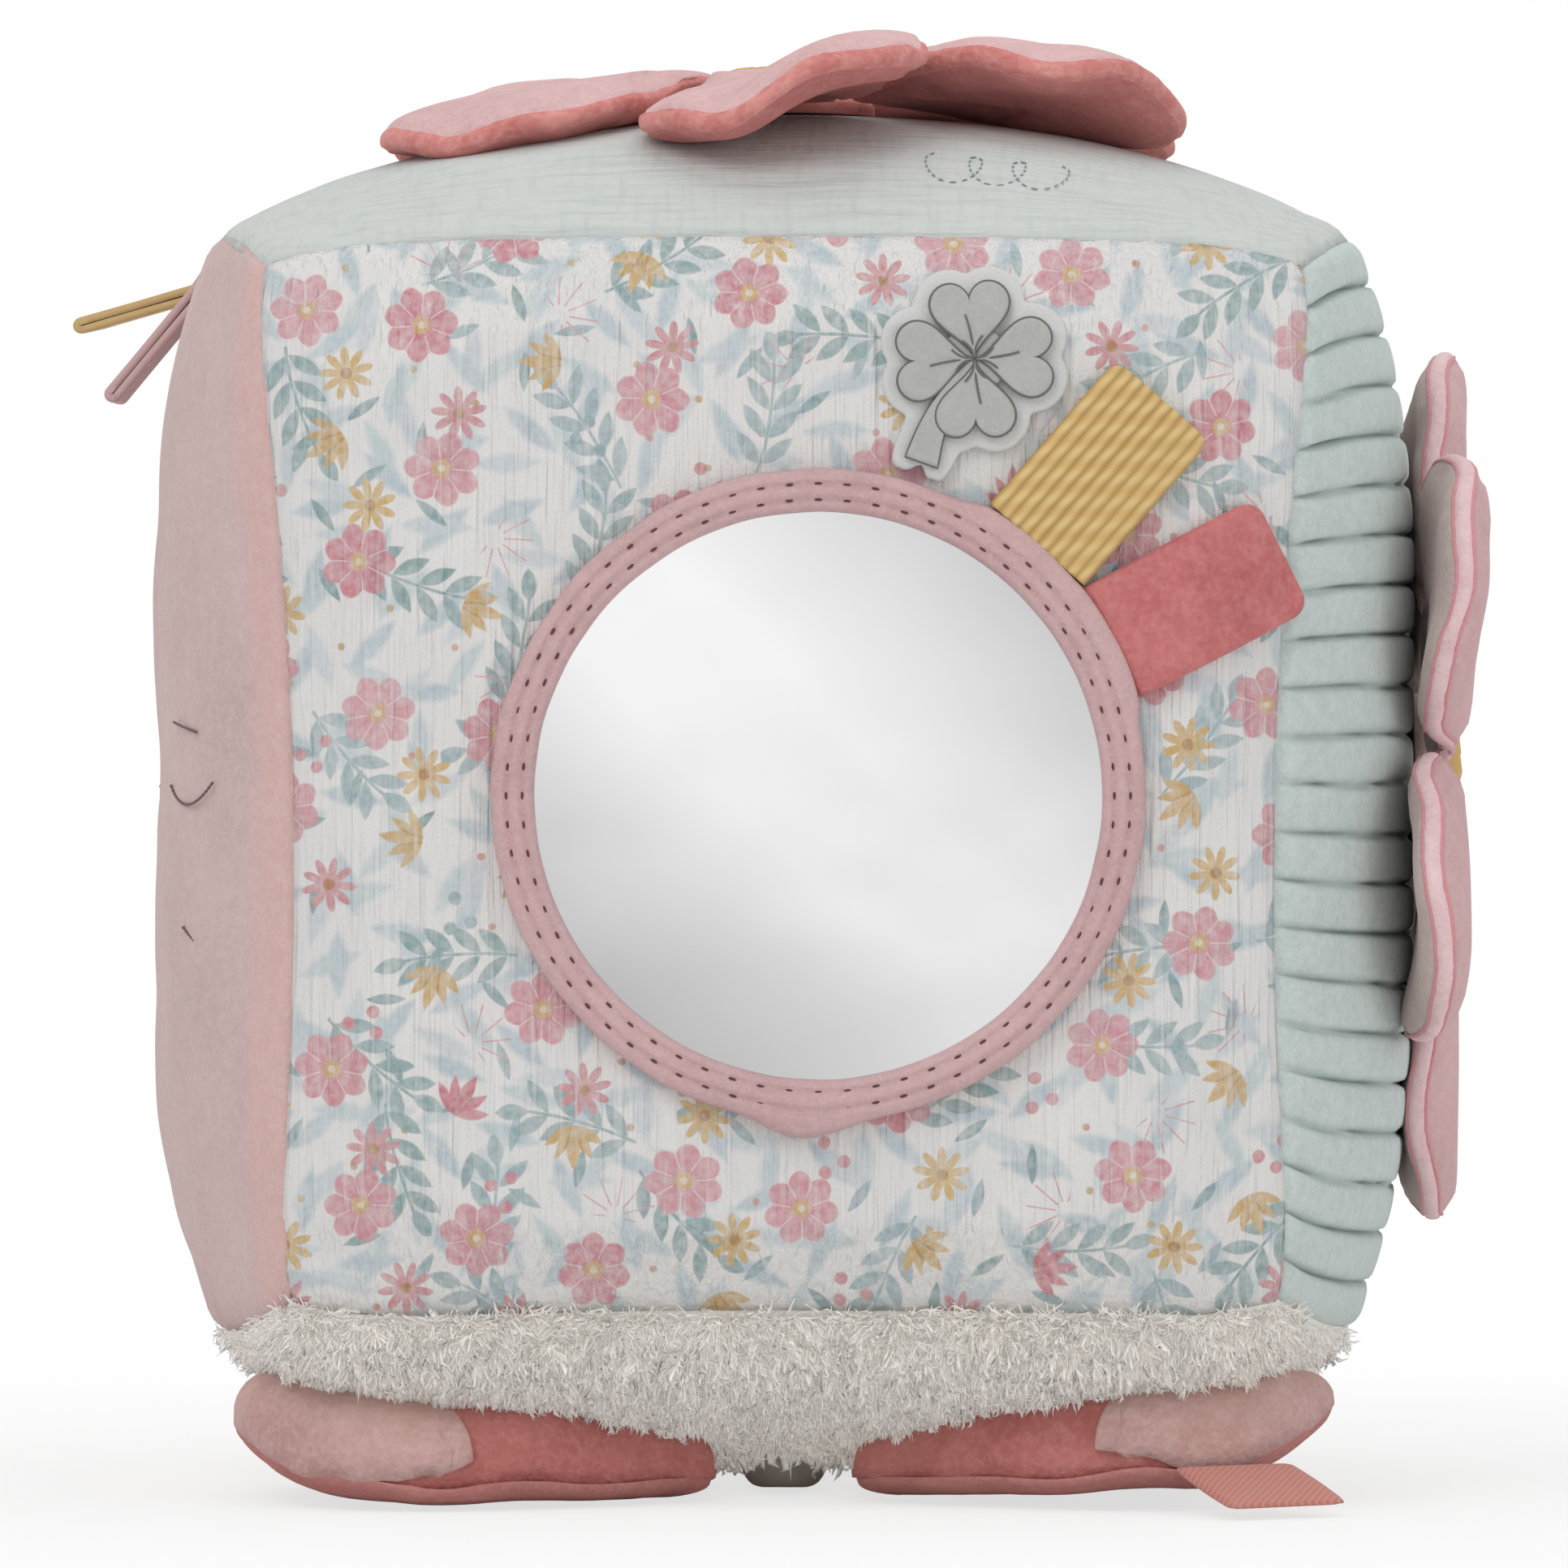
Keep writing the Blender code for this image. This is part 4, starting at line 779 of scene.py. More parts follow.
def revolved(name, profile, steps, place, axis, materials, body, replaces=(), closed=False,
             warp=None):
    """A profile of (radius, height) points turned about an axis. A closed profile makes a ring."""
    profile = np.asarray(profile, float)
    axis = Vector(axis)
    side = axis.orthogonal().normalized() if abs(axis.z) > 0.9 else UP.cross(axis).normalized()
    other = axis.cross(side)
    angles = np.arange(steps) * math.tau / steps
    radius = np.repeat(profile[:, 0][:, None], steps, axis=1)
    height = np.repeat(profile[:, 1][:, None], steps, axis=1)
    angle = np.repeat(angles[None, :], len(profile), axis=0)
    if warp:
        radius, height = warp(radius, height, angle)
    way = np.cos(angle)[..., None] * np.array(side) + np.sin(angle)[..., None] * np.array(other)
    points = (np.array(place) + way * radius[..., None] + height[..., None] * np.array(axis)).reshape(-1, 3)
    rows = len(profile) - 1
    faces = grid_faces(rows, steps, 0, closed=True)
    if closed:
        for j in range(steps):
            k = (j + 1) % steps
            faces.append((rows * steps + j, j, k, rows * steps + k))
    else:
        start = len(points)
        ends = [np.array(place) + np.array(axis) * profile[end][1] for end in (0, -1)]
        points = np.concatenate((points, np.array(ends)))
        for j in range(steps):
            k = (j + 1) % steps
            faces.append((start, j, k))
            faces.append((start + 1, rows * steps + k, rows * steps + j))
    made = piece(name, points, faces, materials, body, replaces)
    outward_faces(made)
    return made


# ---------------------------------------------------------------- the cube's skin

def fullness(across, along, power):
    """How far a side's crown has risen at a place: 0 at its seams, 1 in its middle."""
    return (1.0 - abs(across) ** power) * (1.0 - abs(along) ** power)


def tuck(across, along):
    """How far a side is drawn in near its corners, where three seams meet."""
    return CORNER_TUCK * abs(across * along) ** 8.0


def reach_x(v, w):
    """The skin's distance from the cube's middle plane at the left and right sides. reach_y and reach_z are alike."""
    seams = LONG_SEAM_SWELL * (1.0 - v * v) * w * w - FRONT_SEAM_DRAW * (1.0 - w * w) * v * v
    foot = FOOT_DRAW * ((1.0 - w) / 2.0) ** 2 * v * v
    return HALF_EDGE + seams - foot - tuck(v, w) + SIDE_CROWN * fullness(v, w, 3.0)


def reach_y(u, w, front):
    seams = FRONT_SEAM_SET * ((1.0 - w * w) * u * u + (1.0 - u * u) * w * w)
    bare = HALF_EDGE - seams - tuck(u, w)
    full = fullness(u, w, 4.0)
    return np.where(front, np.minimum(bare + FRONT_CROWN * full, FRONT_REACH), bare + BACK_CROWN * full)


def reach_z(u, v, top):
    bare = HALF_EDGE + LONG_SEAM_RISE * (1.0 - v * v) * u * u - tuck(u, v)
    rise = TOP_SEAM_RISE * (1.0 - u * u) * v * v
    high = bare + rise + TOP_CROWN * fullness(u, v, 2.4)
    low = np.minimum(bare - rise + BELLY_CROWN * fullness(u, v, 2.6), BELLY_REACH)
    return np.where(top, high, low)


def skin(u, v, w):
    """The cube's outer skin at a place on a unit cube."""
    u, v, w = np.broadcast_arrays(np.asarray(u, float), v, w)
    return CENTRE + np.stack((u * reach_x(v, w), v * reach_y(u, w, v < 0.0), w * reach_z(u, v, w > 0.0)), -1)


def belly_height(x, y):
    """The height of the belly's skin above a place under the cube."""
    u, v = x / HALF_EDGE, y / HALF_EDGE
    for _ in range(8):
        u, v = x / reach_x(v, -1.0), y / reach_y(u, -1.0, y < 0.0)
    return CENTRE_HEIGHT - reach_z(np.clip(u, -1.0, 1.0), np.clip(v, -1.0, 1.0), False)


def lattice(first, second, rows, columns):
    """Even places over a square, row by row, between two pairs of limits."""
    return np.meshgrid(np.linspace(*first, rows + 1), np.linspace(*second, columns + 1), indexing="ij")


def on_side(axis, sign, a, b):
    """Points on one side of the cube, at places a and b from -1 to 1."""
    place = [None, None, None]
    place[axis] = np.full_like(a, sign)
    place[(axis + 1) % 3], place[(axis + 2) % 3] = a, b
    return skin(*place)


def face_grid(axis, sign, rows, columns):
    """Points over one side of the cube, with their places a and b."""
    a, b = lattice((-FACE_SHARE, FACE_SHARE), (-FACE_SHARE, FACE_SHARE), rows, columns)
    return on_side(axis, sign, a, b), a, b


def relief(points, a, b, soft, folds, seed):
    """How far cloth stands out of the smooth skin: drawn in at its seams, with folds that run from them."""
    millimetres = HALF_EDGE * 1000.0
    to_a, to_b = (1.0 - abs(a)) * millimetres, (1.0 - abs(b)) * millimetres
    nearest = np.minimum(to_a, to_b)
    out = -0.0011 * np.exp(-((nearest / 1.5) ** 2))
    out += soft * wobble(points, 0.028, seed) * np.minimum(1.0, nearest / 9.0)
    out += soft * 0.5 * wobble(points, 0.012, seed + 3.0) * np.minimum(1.0, nearest / 6.0)
    for distance, along, side in ((to_a, b, np.sign(a)), (to_b, a, np.sign(b))):
        ripples = np.stack((along * millimetres / 4.6, side * 3.3, distance / 60.0 + seed), -1)
        small = np.stack((along * millimetres / 2.2, side * 9.3, distance / 40.0 + seed), -1)
        fold = wobble(ripples, 1.0, seed) + 0.45 * wobble(small, 1.0, seed + 5.0)
        out += folds * fold * np.exp(-distance / 8.0) * np.minimum(1.0, distance / 1.2)
    return out


def cube_panel(name, axis, sign, finish, soft, folds, seed, keep_flat=None):
    """One cloth side of the cube as a closed sheet."""
    base, a, b = face_grid(axis, sign, PANEL_CELLS, PANEL_CELLS)
    normal = grid_normals(base)
    middle = PANEL_CELLS // 2
    if float(normal[middle, middle] @ (base[middle, middle] - CENTRE)) < 0.0:
        normal = -normal
    out = relief(base, a, b, soft, folds, seed)
    if keep_flat is not None:
        out = out * keep_flat(base)
    outer = base + normal * out[..., None]
    inner = CENTRE + (base - CENTRE) * (1.0 - CLOTH / HALF_EDGE) + normal * np.minimum(out, 0.0)[..., None]
    points, faces = sheet_mesh(outer, inner)
    made = piece(name.replace("panel", "cloth"), points, faces, [finish], BLOCK, [name])


def from_mirror(points):
    """The distance from the mirror's middle as seen from the front."""
    return np.hypot(points[..., 0] - MIRROR_MIDDLE.x, points[..., 2] - MIRROR_MIDDLE.z)


def off_mirror(points):
    """0 under the mirror and its ring, 1 away from it."""
    return np.clip((from_mirror(points) - RIM_RADIUS - 0.001) / 0.006, 0.0, 1.0)


def near_flower(place, radius):
    """Gives the function that calms a side's folds under a flower."""
    def keep(points):
        away = np.linalg.norm(points - np.array(place), axis=-1)
        return 0.25 + 0.75 * np.clip((away - radius) / 0.012, 0.0, 1.0)
    return keep


TOP_CENTRE = Vector(skin(0.0, 0.0, 1.0))
SIDE_CENTRE = Vector(skin(1.0, 0.0, 0.0))


def make_cube():
    """The front, back, left and top sides. The right side and the belly have functions of their own."""
    cube_panel("front_panel", 1, -1.0, "muslin", 0.0005, 0.00042, 1.0, off_mirror)
    cube_panel("back_panel", 1, 1.0, "muslin", 0.0011, 0.0005, 2.0)
    cube_panel("left_panel", 0, -1.0, "left_velour", 0.0012, 0.0006, 3.0)
    cube_panel("top_panel", 2, 1.0, "top_cloth", 0.0006, 0.0005, 4.0,
               near_flower(TOP_CENTRE, FLOWER_REACH))


def make_ribs():
    """The right side. Its ribs run from front to back, and a Geometry Nodes tree sews them in."""
    rows = RIBS * 12
    w, v = lattice((-FACE_SHARE, FACE_SHARE), (-FACE_SHARE, FACE_SHARE), rows, 64)
    base = skin(np.ones_like(w), v, w)
    normal = grid_normals(base)
    if normal[rows // 2, 32, 0] < 0.0:
        normal = -normal
    out = relief(base, w, v, 0.0004, 0.0003, 5.0) * near_flower(SIDE_CENTRE, FLOWER_REACH)(base)
    outer = base + normal * out[..., None]
    inner = CENTRE + (base - CENTRE) * (1.0 - CLOTH / HALF_EDGE) - normal * RIB_DEPTH
    points, faces = sheet_mesh(outer, inner)
    mesh = bpy.data.meshes.new("ribs_smooth")
    mesh.from_pydata(points.tolist(), [], faces)
    uneven = 0.09 * wobble(base * (1.0, 1.0, 3.0), 0.02, 8.0) * (1.0 - abs(w) ** 8.0)
    place = (w / FACE_SHARE + 1.0) / 2.0 * RIBS + uneven
    fade = np.clip((1.0 - abs(v)) / 0.055, 0.0, 1.0) ** 0.5
    for label, values in (("rib_place", place), ("rib_fade", fade)):
        layer = mesh.attributes.new(label, "FLOAT", "POINT")
        both = np.concatenate((values.ravel(), values.ravel() if label == "rib_place" else np.zeros(values.size)))
        layer.data.foreach_set("value", both.astype(np.float32))
    tree, nodes, given = new_tree("sewn_ribs", Depth="Float", Flatness="Float", Cloth="Material")
    along = nodes.named("rib_place")
    ends = nodes.named("rib_fade")
    across = abs(along.math("FRACT") * 2.0 - 1.0)
    furrow = across ** given["Flatness"] * ends
    crown = (1.0 - across * across) * 0.18 * ends
    normal = nodes.add("GeometryNodeInputNormal")
    push = (crown - furrow) * given["Depth"]
    shift = nodes.vector_math("SCALE", {0: normal, "Scale": push})
    moved = nodes.add("GeometryNodeSetPosition", None, {"Geometry": given, "Offset": shift})
    # The furrows' depth is kept for the plush's painted shade.
    kept = nodes.add("GeometryNodeStoreNamedAttribute", {"data_type": "FLOAT", "domain": "POINT"},
                     {"Geometry": moved, "Name": "furrow", "Value": furrow})
    real = nodes.add("GeometryNodeRealizeInstances", None, {"Geometry": kept})
    dyed = nodes.add("GeometryNodeSetMaterial", None, {"Geometry": real, "Material": given["Cloth"]})
    close_tree(nodes, dyed)
    made = baked(set_tree(linked("right_cloth", mesh), tree, Depth=RIB_DEPTH, Flatness=11.0, Cloth=FINISHES["ribs"]))
    made.data.shade_smooth()
    declared(made, BLOCK, ["right_panel"])


def close_tree(nodes, geometry):
    """Ends a Geometry Nodes tree with its output."""
    out = nodes.tree.nodes.new("NodeGroupOutput")
    nodes.tree.links.new(geometry.socket, out.inputs[0])


def set_tree(made, tree, **inputs):
    """Hangs a Geometry Nodes tree on an object, with its inputs set by their identifiers."""
    modifier = made.modifiers.new(tree.name, "NODES")
    modifier.node_group = tree
    for socket in tree.interface.items_tree:
        if socket.item_type == "SOCKET" and socket.in_out == "INPUT" and socket.name in inputs:
            modifier[socket.identifier] = inputs[socket.name]
    return made


def baked(made):
    """The object with its modifiers' result as a plain mesh."""
    graph = bpy.context.evaluated_depsgraph_get()
    mesh = bpy.data.meshes.new_from_object(made.evaluated_get(graph), depsgraph=graph)
    made.modifiers.clear()
    old = made.data
    made.data = mesh
    mesh.name = made.name
    bpy.data.meshes.remove(old)
    return made


def new_tree(name, **inputs):
    """An empty Geometry Nodes tree from one geometry to another, with more inputs by name and kind."""
    tree = bpy.data.node_groups.new(name, "GeometryNodeTree")
    for label, kind in {"Geometry": "Geometry", **inputs}.items():
        tree.interface.new_socket(label, in_out="INPUT", socket_type="NodeSocket" + kind)
    tree.interface.new_socket("Geometry", in_out="OUTPUT", socket_type="NodeSocketGeometry")
    nodes = Nodes(tree)
    return tree, nodes, nodes.add("NodeGroupInput")


def stitch_tree():
    """Stitches of one length, spaced along the lines of a wire mesh and lying along them."""
    tree, nodes, given = new_tree("stitches", Pitch="Float", Length="Float", Width="Float", Thread="Material")
    curve = nodes.add("GeometryNodeMeshToCurve", None, {"Mesh": given})
    spaced = nodes.add("GeometryNodeResampleCurve", {"mode": "LENGTH"}, {"Curve": curve, "Length": given["Pitch"]})
    ball = nodes.add("GeometryNodeMeshUVSphere", None, {"Segments": 6, "Rings": 5, "Radius": 0.5})
    size = nodes.vector(given["Width"], given["Width"], given["Length"])
    tangent = nodes.add("GeometryNodeInputTangent")
    turn = nodes.add("FunctionNodeAlignRotationToVector", {"axis": "Z"}, {"Vector": tangent})
    placed = nodes.add("GeometryNodeInstanceOnPoints", None,
                       {"Points": spaced, "Instance": ball, "Rotation": turn, "Scale": size})
    real = nodes.add("GeometryNodeRealizeInstances", None, {"Geometry": placed})
    smooth = nodes.add("GeometryNodeSetShadeSmooth", None, {"Geometry": real})
    close_tree(nodes, nodes.add("GeometryNodeSetMaterial", None, {"Geometry": smooth, "Material": given["Thread"]}))
    return tree


def cord_tree():
    """A round thread along the lines of a wire mesh."""
    tree, nodes, given = new_tree("laid_thread", Radius="Float", Sides="Int", Thread="Material")
    curve = nodes.add("GeometryNodeMeshToCurve", None, {"Mesh": given})
    ring = nodes.add("GeometryNodeCurvePrimitiveCircle", None,
                     {"Resolution": given["Sides"], "Radius": given["Radius"]})
    tube = nodes.add("GeometryNodeCurveToMesh", None, {"Curve": curve, "Profile Curve": ring, "Fill Caps": True})
    smooth = nodes.add("GeometryNodeSetShadeSmooth", None, {"Geometry": tube})
    real = nodes.add("GeometryNodeRealizeInstances", None, {"Geometry": smooth})
    close_tree(nodes, nodes.add("GeometryNodeSetMaterial", None, {"Geometry": real, "Material": given["Thread"]}))
    return tree


STITCHES = stitch_tree()
LAID_THREAD = cord_tree()


def wires(name, lines):
    """An object of bare edges. Each line is (points, closed)."""
    points, edges = [], []
    for line, closed in lines:
        start = len(points)
        points += [tuple(point) for point in np.asarray(line, float)]
        edges += [(start + i, start + i + 1) for i in range(len(line) - 1)]
        if closed:
            edges.append((start + len(line) - 1, start))
    mesh = bpy.data.meshes.new(name)
    mesh.from_pydata(points, edges, [])
    return linked(name, mesh)


def stitched(name, lines, pitch, length, width, finish):
    """Running stitches on the block."""
    made = set_tree(wires(name, lines), STITCHES, Pitch=pitch, Length=length, Width=width, Thread=FINISHES[finish])
    declared(baked(made), BLOCK)


def threaded(name, lines, radius, finish, body, sides):
    """Laid threads."""
    made = set_tree(wires(name, lines), LAID_THREAD, Radius=radius, Sides=sides, Thread=FINISHES[finish])
    declared(baked(made), body)


def make_core():
    """The fibre filling as one stuffed block, and the foam disc that keeps the mirror flat."""
    cells = 16
    points, faces = [], []
    scale = 1.0 - (CLOTH + FILLING_UNDER) / HALF_EDGE
    a, b = lattice((-1.0, 1.0), (-1.0, 1.0), cells, cells)
    for axis in range(3):
        for sign in (-1.0, 1.0):
            grid = CENTRE + (on_side(axis, sign, a, b) - CENTRE) * scale
            if axis == 1 and sign < 0.0:
                pocket = from_mirror(grid) < FOAM_RADIUS + 0.008
                grid[..., 1] = np.where(pocket, FOAM_POCKET_FLOOR, grid[..., 1])
            start = len(points)
            points += grid.reshape(-1, 3).tolist()
            faces += grid_faces(cells, cells, start, flip=sign < 0.0)
    mesh = bpy.data.meshes.new("fibre_filling")
    mesh.from_pydata(points, [], faces)
    mesh.materials.append(FINISHES["fibre"])
    welded = bmesh.new()
    welded.from_mesh(mesh)
    bmesh.ops.remove_doubles(welded, verts=welded.verts, dist=0.00002)
    bmesh.ops.recalc_face_normals(welded, faces=welded.faces)
    welded.to_mesh(mesh)
    welded.free()
    mesh.shade_smooth()
    made = declared(linked("filling", mesh), BLOCK, ["fibre_filling"])
    front = FRONT_REACH * (1.0 - 0.0015 / HALF_EDGE) - 0.0006
    back = front - FOAM_THICKNESS + 0.0006
    soft, far = 0.0012, FOAM_RADIUS
    round_edge = [(far - soft, front), (far - 0.0004, front - 0.0004), (far, front - soft)]
    profile = [(0.02, front)] + round_edge + [(far, back + soft), (far - soft, back), (0.02, back)]
    revolved("foam_disc", profile, 64, MIRROR_MIDDLE, FRONT, ["foam"], BLOCK, ["mirror_foam"])


def make_mirror():
    """The mirror keeps its solid. Its sewn ring is a soft band with two rows of stitches and a small pleat."""
    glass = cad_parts["mirror_disc"]
    glass.data.materials.clear()
    glass.data.materials.append(FINISHES["mirror"])
    seat = FRONT_REACH + GAP
    lip = seat + MIRROR_FILM + GAP
    crest = seat + RIM_HEIGHT

    def crown(share):
        """The band's swell and height at a share of its width."""
        swell = math.sqrt(max(0.0, 1.0 - abs(2.0 * share - 1.0) ** 2.6))
        return swell, lip + GAP + (crest - lip) * swell * (0.82 + 0.18 * math.sin(math.pi * share))

    outline = [(0.0418, seat + 0.0001), (0.0418, lip - 0.0001), (SIGHT_RADIUS, lip - 0.0001)]
    for share in np.linspace(0.0, 1.0, 25):
        radius = SIGHT_RADIUS + (RIM_RADIUS - SIGHT_RADIUS) * share
        swell, height = crown(share)
        for groove in STITCH_RADII:
            height -= STITCH_GROOVE * math.exp(-(((radius - groove) / 0.00042) ** 2)) * swell
        outline.append((radius, height if share < 1.0 else seat + 0.0007))
    outline.append((RIM_RADIUS - 0.0003, seat + 0.0001))

    def warp(radius, height, angle):
        ripple = np.array([[noise.noise((math.cos(a) * 6.0, math.sin(a) * 6.0, 3.0)) for a in angle[0]]])
        fine = np.array([[noise.noise((math.cos(a) * 24.0, math.sin(a) * 24.0, 9.0)) for a in angle[0]]])
        outer = np.clip((radius - SIGHT_RADIUS) / (RIM_RADIUS - SIGHT_RADIUS), 0.0, 1.0)
        pleat = np.exp(-((np.angle(np.exp(1j * (angle - pleat_angle))) / math.radians(7.0)) ** 2))
        turn = np.degrees(np.angle(np.exp(1j * angle)))
        cover = 1.0 / (1.0 + np.exp(-(turn - TAGS_FROM) / 1.2)) / (1.0 + np.exp((turn - TAGS_TO) / 1.2))
        lip_share = np.clip((radius - 0.0434) / 0.0016, 0.0, 1.0)
        radius = radius + outer ** 3 * (0.0003 * ripple + 0.0022 * pleat) + (1.0 - outer) * 0.00012 * ripple
        radius = radius + TAG_COVER * cover * lip_share
        lifted = np.clip((height - seat) / RIM_HEIGHT, 0.0, 1.0)
        return radius, height + lifted * (0.00018 * ripple + 0.00015 * fine + 0.0006 * pleat * outer)

    side = UP.cross(FRONT).normalized()
    down = Vector((-0.05, 0.0, -1.0)).normalized()
    pleat_angle = math.atan2(down.dot(FRONT.cross(side)), down.dot(side))
    revolved("mirror_ring", outline, 200, MIRROR_MIDDLE, FRONT, ["rim"], BLOCK, ["mirror_rim"],
             closed=True, warp=warp)
    lines = []
    for radius in STITCH_RADII:
        angles = np.linspace(0.0, math.tau, 180, endpoint=False)
        swell, height = crown((radius - SIGHT_RADIUS) / (RIM_RADIUS - SIGHT_RADIUS))
        out = MIRROR_MIDDLE + FRONT * (height - STITCH_GROOVE * swell + 0.00008)
        lines.append(([out + (RIGHT * math.cos(a) + UP * math.sin(a)) * radius for a in angles], True))
    stitched("ring_stitches", lines, 0.0040, 0.0011, 0.00042, "rose_thread")


def rim_seat(degrees, thickness):
    """The hinge of a tag at the ring: 0 degrees is to the right, 90 up."""
    angle = math.radians(degrees)
    outward = RIGHT * math.cos(angle) + UP * math.sin(angle)
    place = MIRROR_MIDDLE + outward * TAG_HINGE_RADIUS + FRONT * (FRONT_REACH + GAP + thickness / 2.0)
    return Seat(place, outward, FRONT)


def front_sag(seat, x, y):
    """How far the front panel falls back from its flat part under a tag."""
    points = seat.world(x, y, np.zeros_like(x)) - CENTRE
    u, w = points[..., 0] / HALF_EDGE, points[..., 2] / HALF_EDGE
    for _ in range(8):
        u, w = points[..., 0] / reach_x(-1.0, w), points[..., 2] / reach_z(u, -1.0, points[..., 2] > 0.0)
    return FRONT_REACH - reach_y(np.clip(u, -1.0, 1.0), np.clip(w, -1.0, 1.0), np.ones_like(u, bool))


def rounded_tag(length, width, corner):
    """The outline of a ribbon tag with two rounded corners at its free end. It starts a little under the ring."""
    start, side_steps = -0.001, 14
    half, inset = width / 2.0, length - corner
    bend = np.linspace(0.0, math.pi / 2.0, 9)
    points = [(start + (inset - start) * k / side_steps, -half) for k in range(side_steps)]
    points += [(inset + corner * math.sin(a), -half + corner - corner * math.cos(a)) for a in bend]
    points += [(length, -half + corner + (width - 2.0 * corner) * k / side_steps) for k in range(1, side_steps)]
    points += [(inset + corner * math.cos(a), half - corner + corner * math.sin(a)) for a in bend]
    points += [(inset - (inset - start) * k / side_steps, half) for k in range(1, side_steps + 1)]
    points += [(start, half - width * k / side_steps) for k in range(1, side_steps)]
    return points


def ribbon(name, world, x, y, middle, thick, under, material, body, replaces, uv):
    """A closed ribbon over a grid of places, with its thickness and its UV."""
    points, faces = sheet_mesh(world(x, y, middle + thick), world(x, y, middle - thick * under))
    uv = np.stack(uv, -1).reshape(-1, 2)
    made = piece(name, points, faces, [material], body, [replaces], uv=np.concatenate((uv, uv)))
    outward_faces(made)


def make_tags():
    """The velour tag and the corded one, whose cords run along it, and the clover tag."""
    coral = rim_seat(27.5, 0.0022)
    outline = rounded_tag(TAG_LENGTH, 0.0168, 0.0026)
    cushion("coral_ribbon", outline, 0.00125, 0.0009, ["coral"], "coral_tag", coral.world, "coral_velour",
            ["coral_tag"], level=lambda x, y: 0.0002 - front_sag(coral, x, y), edge=0.0006, bulge=0.0003,
            rounding=0.0022, pucker=0.00006, seed=2.0, fill=0.3)
    mustard = rim_seat(48.9, 0.0026)
    s, t = lattice((0.0, 1.0), (-1.0, 1.0), 44, 80)
    width, corner, length = 0.0172, 0.0022, TAG_LENGTH
    beyond = np.clip((abs(t) - (1.0 - corner / width * 2.0)) / (corner / width * 2.0), 0.0, 1.0)
    x = -0.0011 + (length - corner * (1.0 - np.sqrt(1.0 - beyond ** 2)) + 0.0011) * s
    y = t * width / 2.0
    edge = np.minimum(1.0, np.minimum((1.0 - abs(t)) * width / 2.0, (1.0 - s) * length) / 0.0012)
    ridge = abs(np.sin(t * math.pi * MUSTARD_CORDS / 2.0)) ** 0.8
    thick = 0.00125 * (0.35 + 0.65 * np.sqrt(1.0 - (1.0 - edge) ** 2)) + 0.00019 * (ridge - 0.6) * edge
    middle = 0.0001 - front_sag(mustard, x, y)
    ribbon("mustard_ribbon", mustard.world, x, y, middle, thick, 0.9, "mustard", "mustard_tag",
           "mustard_tag", (x, (t + 1.0) / 2.0))
    make_clover()


CLOVER_DEGREES = 70.3


def heart_leaf(turn, middle, size):
    """A heart-shaped leaf whose point is at the clover's middle."""
    angle = np.linspace(0.0, math.tau, 60, endpoint=False)
    across = 16.0 * np.sin(angle) ** 3 / 32.0 * size * 1.04
    along = 13.0 * np.cos(angle) - 5.0 * np.cos(2.0 * angle) - 2.0 * np.cos(3.0 * angle) - np.cos(4.0 * angle)
    along = (along + 17.0) / 29.0 * size
    cos, sin = math.cos(turn), math.sin(turn)
    return np.stack((along * cos - across * sin, along * sin + across * cos), -1) + middle


def ring_around(middle, shapes, margin, count):
    """The outline that stays a margin away from all these shapes, seen from the middle."""
    spots = np.concatenate(shapes) - middle
    reach, bearing = np.hypot(spots[:, 0], spots[:, 1]), np.arctan2(spots[:, 1], spots[:, 0])
    outline = []
    for angle in np.linspace(0.0, math.tau, count, endpoint=False):
        off = np.angle(np.exp(1j * (bearing - angle)))
        side = reach * np.sin(off)
        seen = (abs(side) < margin) & (abs(off) < math.pi / 2.0)
        far = reach[seen] * np.cos(off[seen]) + np.sqrt(margin ** 2 - side[seen] ** 2)
        outline.append((far.max() if seen.any() else margin, angle))
    radius = np.array([r for r, _ in outline])
    for _ in range(2):
        radius = (np.roll(radius, 1) + radius * 2.0 + np.roll(radius, -1)) / 4.0
    angle = np.array([a for _, a in outline])
    return np.stack((radius * np.cos(angle), radius * np.sin(angle)), -1) + middle


